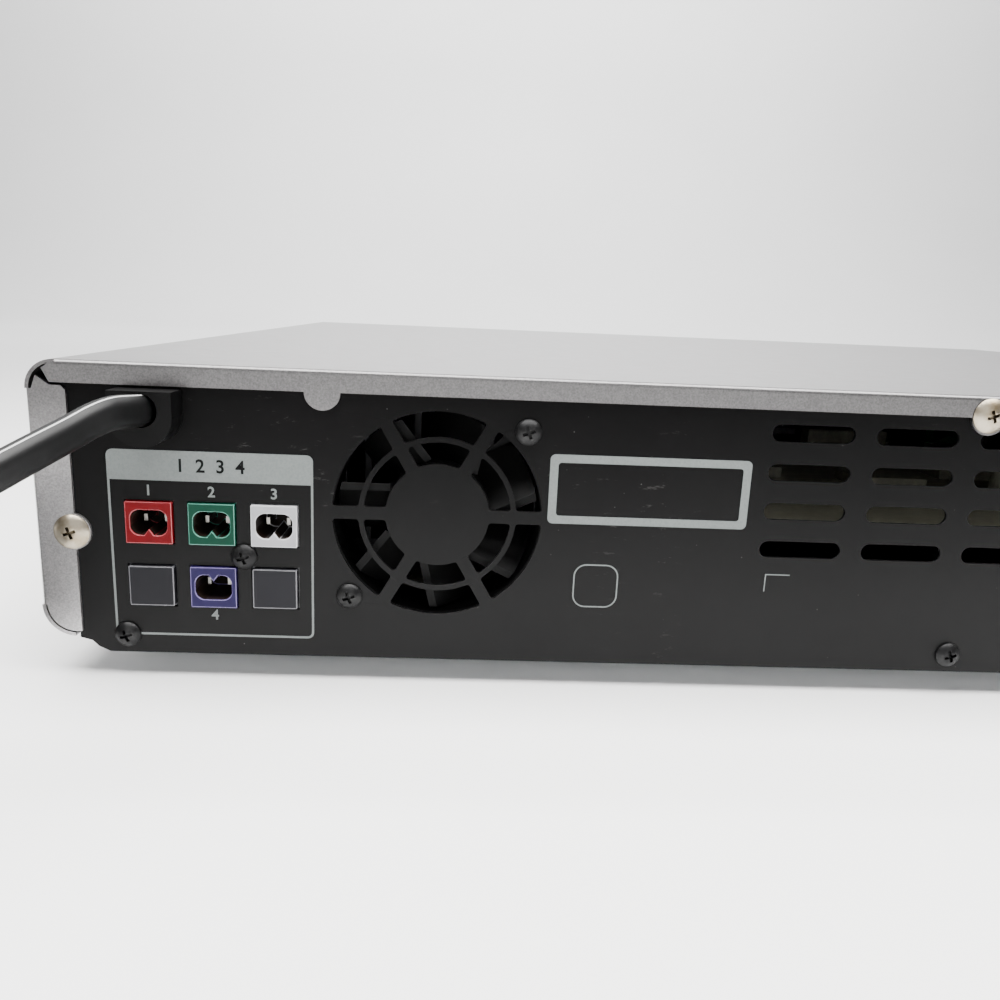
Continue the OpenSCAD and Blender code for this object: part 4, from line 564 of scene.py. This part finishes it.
def dress_nodes():
    """Give every CAD node the material of its slot, and some nodes one of their own."""
    made = {}
    for part in frame["record"]["subparts"]:
        slot = part["material_slot"]
        if slot not in made:
            made[slot] = SLOT_MATERIALS[slot](slot)
        dress(part["node"], made[slot])
    dull = moulded("dull_black", (0.0012, 0.0012, 0.0013), 0.5, gloss=0.12)
    dress("phono_sockets", phono_sleeves("phono_sleeves"))
    dress("power_board", populated("power_board", TAN))
    # darker than the other black plastics: on the fan, partly painted shade for the dark inside of the case
    for name in ("fan_frame", "fan_rotor", "cord_bushing"):
        dress(name, dull)
    satin = painted_steel("button_satin", (0.17, 0.17, 0.175), 0.28, 0.06)
    for word in ("power", "open", "play", "stop", "back", "forward"):
        dress(word + "_button", satin)
    return made


# nodes whose sharp edges catch the light: the width of the rounding in mm, and a lighter colour, a painted
# highlight
ROUNDED = {
    "rear_panel": (0.12, (0.05, 0.05, 0.052)),
    "cord_bushing": (0.3, None),
    "socket_blanks": (0.3, (0.1, 0.1, 0.11)),
    "panel_screws": (0.08, None),
    "cover_screws": (0.08, None),
    "fan_frame": (0.2, None),
    "socket_red": (0.2, (0.36, 0.05, 0.06)),
    "socket_green": (0.2, (0.06, 0.24, 0.18)),
    "socket_white": (0.2, (0.6, 0.6, 0.62)),
    "socket_purple": (0.2, (0.14, 0.11, 0.28)),
}
SHARP = 40  # degrees between two faces, from which their edge is rounded


def round_edges():
    """Soften the named nodes' edges with modifiers, some with a painted highlight; their meshes stay as they
    are.
    """
    for name, (width, edge_highlight) in ROUNDED.items():
        node = bpy.data.objects[name]
        # a lighter colour on the rounding: a painted highlight along the edge
        if edge_highlight:
            node.data.materials.append(moulded(name + "_painted_highlight", edge_highlight, 0.26, relief=0.03, gloss=0.6))
        weld = node.modifiers.new("weld", "WELD")
        weld.merge_threshold = 0.001 * MM
        bevel = node.modifiers.new("bevel", "BEVEL")
        bevel.width = width * MM
        bevel.segments = 2
        bevel.limit_method = "ANGLE"
        bevel.angle_limit = math.radians(SHARP)
        bevel.harden_normals = True
        bevel.material = len(node.data.materials) - 1


# ---- new meshes ----


def mesh_object(name, bm, material, smooth=False):
    """An object of what was drawn in bm, with its faces turned outward."""
    mesh = bpy.data.meshes.new(name)
    bmesh.ops.recalc_face_normals(bm, faces=bm.faces)
    bm.to_mesh(mesh)
    bm.free()
    mesh.materials.append(material)
    if smooth:
        for polygon in mesh.polygons:
            polygon.use_smooth = True
    made = bpy.data.objects.new(name, mesh)
    bpy.context.collection.objects.link(made)
    return made


def new_piece(name, bm, material, smooth=False):
    """A mesh that belongs to the case."""
    piece = mesh_object(name, bm, material, smooth)
    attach(piece, "case")
    return piece


def bridge(bm, first, second):
    """Faces between two rings of vertices that have as many each; gives them back in order."""
    faces = []
    for i in range(len(first)):
        j = (i + 1) % len(first)
        faces.append(bm.faces.new((first[i], first[j], second[j], second[i])))
    return faces


def rounded_loop(x0, z0, x1, z1, radius, steps=8):
    """Points round a rectangle with rounded corners, in mm, from the upper end of its side at x1 on."""
    points = []
    for cx, cz, start in (
        (x1 - radius, z1 - radius, 0), (x0 + radius, z1 - radius, 90),
        (x0 + radius, z0 + radius, 180), (x1 - radius, z0 + radius, 270),
    ):
        for i in range(steps + 1):
            a = math.radians(start + 90 * i / steps)
            points.append((cx + radius * math.cos(a), cz + radius * math.sin(a)))
    return points


# ---- printed marks: raised ink on the rear panel, in mm ----

# a place is across and above the chassis's underside, and a box is two of them: x0, z0, x1, z1

# how far out of the panel's face the ink begins and ends
INK_LOW = 0.01
INK_HIGH = 0.045

# the loudspeaker sockets' frame, with a filled header across its top
FRAME_BOX = (153.2, 4.4, 198.9, 48.2)
FRAME_LINE = 0.5
FRAME_RADIUS = 1.5
HEADER_Z = 41.3
HEADER_RADIUS = 1.0
# the numbers: above the upper sockets, below the lower one and in the header
SOCKET_X = (190.0, 176.0, 162.0)
NUMBER_Z = 38.9
LAST_NUMBER_Z = 9.6
NUMBER_SIZE = 3.4
HEADER_SIZE = 4.2
BOLDER = 0.018  # how much the strokes are widened, as a share of the size
# the empty box beside the fan
BOX = (53.2, 34.3, 99.7, 50.5)
BOX_LINE = 1.9
BOX_RADIUS = 1.2
BOX_INNER_RADIUS = 0.7
# the empty square below the box
SQUARE = (82.2, 14.1, 92.8, 24.7)
SQUARE_LINE = 0.32
SQUARE_RADIUS = 3.0
# the corner line below the vents: its corner, its two lengths and its width
ANGLE_AT = (47.3, 23.6)
ANGLE_ACROSS = 5.9
ANGLE_DOWN = 4.3
ANGLE_LINE = 0.25


def ink_frame(bm, box, line, radius, inner_radius):
    """A raised band of ink along the inside of a rounded box."""
    x0, z0, x1, z1 = box
    outer = rounded_loop(x0, z0, x1, z1, radius)
    inner = rounded_loop(x0 + line, z0 + line, x1 - line, z1 - line, inner_radius)
    rings = [
        [bm.verts.new(on_panel(x, z, out)) for x, z in loop]
        for loop, out in ((outer, INK_LOW), (outer, INK_HIGH), (inner, INK_HIGH), (inner, INK_LOW))
    ]
    for low, high in zip(rings, rings[1:]):
        bridge(bm, low, high)


def ink_patch(bm, loop):
    """A raised patch of ink inside one convex loop."""
    low = [bm.verts.new(on_panel(x, z, INK_LOW)) for x, z in loop]
    high = [bm.verts.new(on_panel(x, z, INK_HIGH)) for x, z in loop]
    bm.faces.new(high)
    bridge(bm, low, high)


def rectangle(x0, z0, x1, z1):
    return [(x1, z1), (x0, z1), (x0, z0), (x1, z0)]


def numeral(name, text, x, z, size, material, out=INK_LOW):
    """A plain printed number centred on a place on the panel, read from behind the case."""
    thick = INK_HIGH - INK_LOW
    data = bpy.data.curves.new(name, "FONT")
    data.body = text
    data.size = size * MM
    data.offset = BOLDER * size * MM
    data.align_x = "CENTER"
    data.align_y = "CENTER"
    data.extrude = 0.5 * thick * MM
    data.materials.append(material)
    piece = bpy.data.objects.new(name, data)
    bpy.context.collection.objects.link(piece)
    upright = Euler((math.radians(90), 0, math.radians(180))).to_matrix().to_4x4()
    piece.matrix_world = Matrix.Translation(on_panel(x, z, out + 0.5 * thick)) @ upright
    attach(piece, "case")


def print_socket_frame(ink, dark):
    """The frame with its header, and the numbers."""
    x0, _, x1, z1 = FRAME_BOX
    bm = bmesh.new()
    ink_frame(bm, FRAME_BOX, FRAME_LINE, FRAME_RADIUS, FRAME_RADIUS - FRAME_LINE)
    header = rounded_loop(x0 + FRAME_LINE, HEADER_Z, x1 - FRAME_LINE, z1 - FRAME_LINE, HEADER_RADIUS)
    # its lower corners are square
    ink_patch(bm, [(x, z if z > 0.5 * (HEADER_Z + z1) else HEADER_Z) for x, z in header])
    new_piece("print_frame", bm, ink)
    for i, x in enumerate(SOCKET_X):
        numeral(f"print_number_{i + 1}", str(i + 1), x, NUMBER_Z, NUMBER_SIZE, ink)
    numeral("print_number_4", "4", SOCKET_X[1], LAST_NUMBER_Z, NUMBER_SIZE, ink)
    middle = 0.5 * (x0 + x1)
    numeral("print_header", "1  2  3  4", middle, 0.5 * (HEADER_Z + z1), HEADER_SIZE, dark, INK_HIGH)


def print_box(ink):
    bm = bmesh.new()
    ink_frame(bm, BOX, BOX_LINE, BOX_RADIUS, BOX_INNER_RADIUS)
    new_piece("print_panel_frame", bm, ink)


def print_square(ink):
    bm = bmesh.new()
    ink_frame(bm, SQUARE, SQUARE_LINE, SQUARE_RADIUS, SQUARE_RADIUS - SQUARE_LINE)
    new_piece("print_square", bm, ink)


def print_corner(ink):
    x, z = ANGLE_AT
    bm = bmesh.new()
    ink_patch(bm, rectangle(x - ANGLE_ACROSS, z - ANGLE_LINE, x, z))
    ink_patch(bm, rectangle(x - ANGLE_LINE, z - ANGLE_DOWN, x, z - ANGLE_LINE))
    new_piece("print_corner", bm, ink)


def make_prints():
    ink = printing_ink("ink_silver", (0.145, 0.162, 0.158))
    dark = printing_ink("ink_dark", (0.003, 0.0032, 0.0035), gloss=0.1)
    print_socket_frame(ink, dark)
    print_box(ink)
    print_square(ink)
    print_corner(ink)


# ---- the mains cord ----

CORD_W = 7.0
CORD_T = 5.0
# the waist between its two cores, its depth and half height as shares of the cord's, and the cores' bulge
WAIST_DEPTH = 0.05
WAIST_HALF_H = 0.35
CORE_BULGE = 0.12
CORD_SIDES = 48
STRIPE_SIDE = 14  # the side that carries the pale line, near the cord's upper edge
STEPS = 4  # of the swept mesh, between two points of the route
# across, behind the rear panel and above the floor, in mm: the same points as the solid's
CORD_ROUTE = (
    (188.5, 1, 63.8), (188.6, 7.5, 63.9), (190.3, 16, 64.4), (192.4, 21, 63.4), (194.6, 26, 61.6),
    (197.4, 33, 59.4), (200.4, 40, 57), (204.3, 48, 54), (209, 56, 49.6), (215.5, 63.2, 43.8),
    (223.3, 69.2, 37.4), (231.3, 74.5, 31), (238, 78.8, 26.6), (244, 82.3, 24.8),
)
TAIL_ROUTE = (
    (289.2, 78.3, 24.8), (294.7, 74.5, 24.8), (299.5, 69.7, 25.1), (303.3, 64.2, 25.7), (306.2, 58.2, 26.6),
    (307.9, 51.7, 27.5), (308.5, 45.5, 28),
)
# the coil: its middle, the radii of its outer and inner column, and the height of a layer
COIL_AT = (270.0, 45.0)
COIL_OUTER = 45.5
COIL_INNER = 38.5
LAYER = 7.0
LAYER_STEPS = 3
# how far the cord has turned, in degrees, where it starts down, crosses inward, starts up and leaves the coil
COIL_DOWN_AT = 60.0
COIL_CROSS_AT = 1070.0
COIL_UP_AT = 1370.0
COIL_END_AT = 2224.8
# and over how many degrees it steps down, crosses inward and steps up
DOWN_OVER = 50
CROSS_OVER = 70
UP_OVER = 60
COIL_STEPS = 185  # that the route along the coil is cut into
# the tie: its place round the coil in degrees, how far it reaches past the columns' middles, its foot and
# top above the floor, half its width at the cord and on its crest, its thickness and its corners' radius
TIE_AT = -75
TIE_REACH = 3.6
TIE_FOOT = 0.35
TIE_TOP = 21.2
TIE_HALF_W = 2.2
TIE_CREST_HALF_W = 2.0
TIE_T = 0.55
TIE_RADIUS = 3.0
TIE_UNDER = 0.3  # the share of its thickness under its foot, so that it stays above the floor


def eased(value):
    value = min(max(value, 0.0), 1.0)
    return value * value * (3 - 2 * value)


def coil_point(turned):
    """A point of the coil after so many degrees: down the outer column, across, then up the inner one."""
    x, out, height = CORD_ROUTE[-1]
    for k in range(LAYER_STEPS):
        height -= LAYER * eased((turned - COIL_DOWN_AT - 360 * k) / DOWN_OVER)
        height += LAYER * eased((turned - COIL_UP_AT - 360 * k) / UP_OVER)
    radius = COIL_OUTER + (COIL_INNER - COIL_OUTER) * eased((turned - COIL_CROSS_AT) / CROSS_OVER)
    middle_x, middle_out = COIL_AT
    angle = math.atan2(out - middle_out, x - middle_x) - math.radians(turned)
    return (middle_x + radius * math.cos(angle), middle_out + radius * math.sin(angle), height)


def smooth_path(points, parts):
    """A Catmull-Rom curve through the points, with parts steps to each stretch."""
    line = []
    for i in range(len(points) - 1):
        p0, p1, p2, p3 = (points[min(max(j, 0), len(points) - 1)] for j in (i - 1, i, i + 1, i + 2))
        for k in range(parts):
            t = k / parts
            line.append(
                0.5 * (2 * p1 + (p2 - p0) * t + (2 * p0 - 5 * p1 + 4 * p2 - p3) * t * t
                       + (3 * p1 - p0 - 3 * p2 + p3) * t * t * t)
            )
    return line + [points[-1]]


def cord_section():
    """The flat cord's outline: two cores side by side, with a shallow waist between them."""
    loop = []
    for i in range(CORD_SIDES):
        a = 2 * math.pi * i / CORD_SIDES
        across, up = math.cos(a), math.sin(a)
        waist = 1 - WAIST_DEPTH * math.exp(-(up / WAIST_HALF_H) ** 2)
        bulge = 1 + CORE_BULGE * abs(across) * up * up
        loop.append((0.5 * CORD_T * across * waist * bulge, 0.5 * CORD_W * up))
    return loop


def sweep(bm, path, section):
    """A closed skin of the section along the path, smooth along its length; its stripe has material 1."""
    rings = []
    for i, point in enumerate(path):
        ahead = (path[min(i + 1, len(path) - 1)] - path[max(i - 1, 0)]).normalized()
        side = ahead.cross(Vector((0, 0, 1))).normalized()
        up = side.cross(ahead)
        rings.append([bm.verts.new(point + (side * u + up * v) * MM) for u, v in section])
    for low, high in zip(rings, rings[1:]):
        for k, face in enumerate(bridge(bm, low, high)):
            face.material_index = 1 if k == STRIPE_SIDE else 0
            face.smooth = True
    bm.faces.new(rings[0])
    bm.faces.new(rings[-1])


def make_cord(material):
    spots = [behind(*p) for p in CORD_ROUTE]
    spots += [behind(*coil_point(COIL_END_AT * k / COIL_STEPS)) for k in range(1, COIL_STEPS)]
    spots += [behind(*p) for p in TAIL_ROUTE]
    path = smooth_path(spots, STEPS)
    bm = bmesh.new()
    sweep(bm, path, cord_section())
    piece = new_piece("mains_cord", bm, material)
    piece.data.materials.append(printing_ink("cord_stripe", (0.5, 0.5, 0.5)))
    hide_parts("power_cord", "cord_coil", "cord_tail")
    tie = make_tie(material)
    dress("cord_plug", plug_material("plug"))


def make_tie(material):
    """A soft band round the coil's whole section, on the coil's -Y side."""
    angle = math.radians(TIE_AT)
    radial = Vector((math.cos(angle), math.sin(angle), 0))
    along = Vector((-math.sin(angle), math.cos(angle), 0))
    low, high = COIL_INNER - TIE_REACH, COIL_OUTER + TIE_REACH
    bm = bmesh.new()
    rings = []
    for grow, half in (
        (0.0, TIE_HALF_W), (TIE_T, TIE_CREST_HALF_W), (TIE_T, -TIE_CREST_HALF_W), (0.0, -TIE_HALF_W),
    ):
        foot = TIE_FOOT - TIE_UNDER * grow
        loop = rounded_loop(low - grow, foot, high + grow, TIE_TOP + grow, TIE_RADIUS, 6)
        ring = []
        for r, z in loop:
            place = behind(*COIL_AT, 0) + radial * r * MM + along * half * MM
            ring.append(bm.verts.new(place + Vector((0, 0, z * MM))))
        rings.append(ring)
    for first, second in zip(rings, rings[1:] + rings[:1]):
        bridge(bm, first, second)
    piece = new_piece("cord_tie", bm, material, smooth=True)
    return piece


# ---- floor, in metres ----

FLOOR_HALF_W = 16.0
FRONT_WALL_Y = -2.6
REAR_WALL_Y = 3.8
WALL_RISE = 3.0
CURVE_RADIUS = 0.8
CURVE_STEPS = 12


def make_floor():
    """A floor that curves up into a wall in front of the case and behind it."""
    quarter = [math.radians(90 * i / CURVE_STEPS) for i in range(CURVE_STEPS + 1)]
    r = CURVE_RADIUS
    profile = [(FRONT_WALL_Y, WALL_RISE)]
    profile += [(FRONT_WALL_Y + r - r * math.cos(a), r - r * math.sin(a)) for a in quarter]
    profile += [(REAR_WALL_Y - r + r * math.sin(a), r - r * math.cos(a)) for a in quarter]
    profile.append((REAR_WALL_Y, WALL_RISE))
    bm = bmesh.new()
    left, right = ([bm.verts.new((x, y, z)) for y, z in profile] for x in (-FLOOR_HALF_W, FLOOR_HALF_W))
    for i in range(len(profile) - 1):
        bm.faces.new((left[i], left[i + 1], right[i + 1], right[i]))
    mesh_object("floor", bm, floor_material("floor"), smooth=True)


# ---- assembly ----

make_camera()
slot_materials = dress_nodes()
round_edges()
make_cord(slot_materials["cord_black"])
make_prints()
make_floor()
make_lights()
make_world()
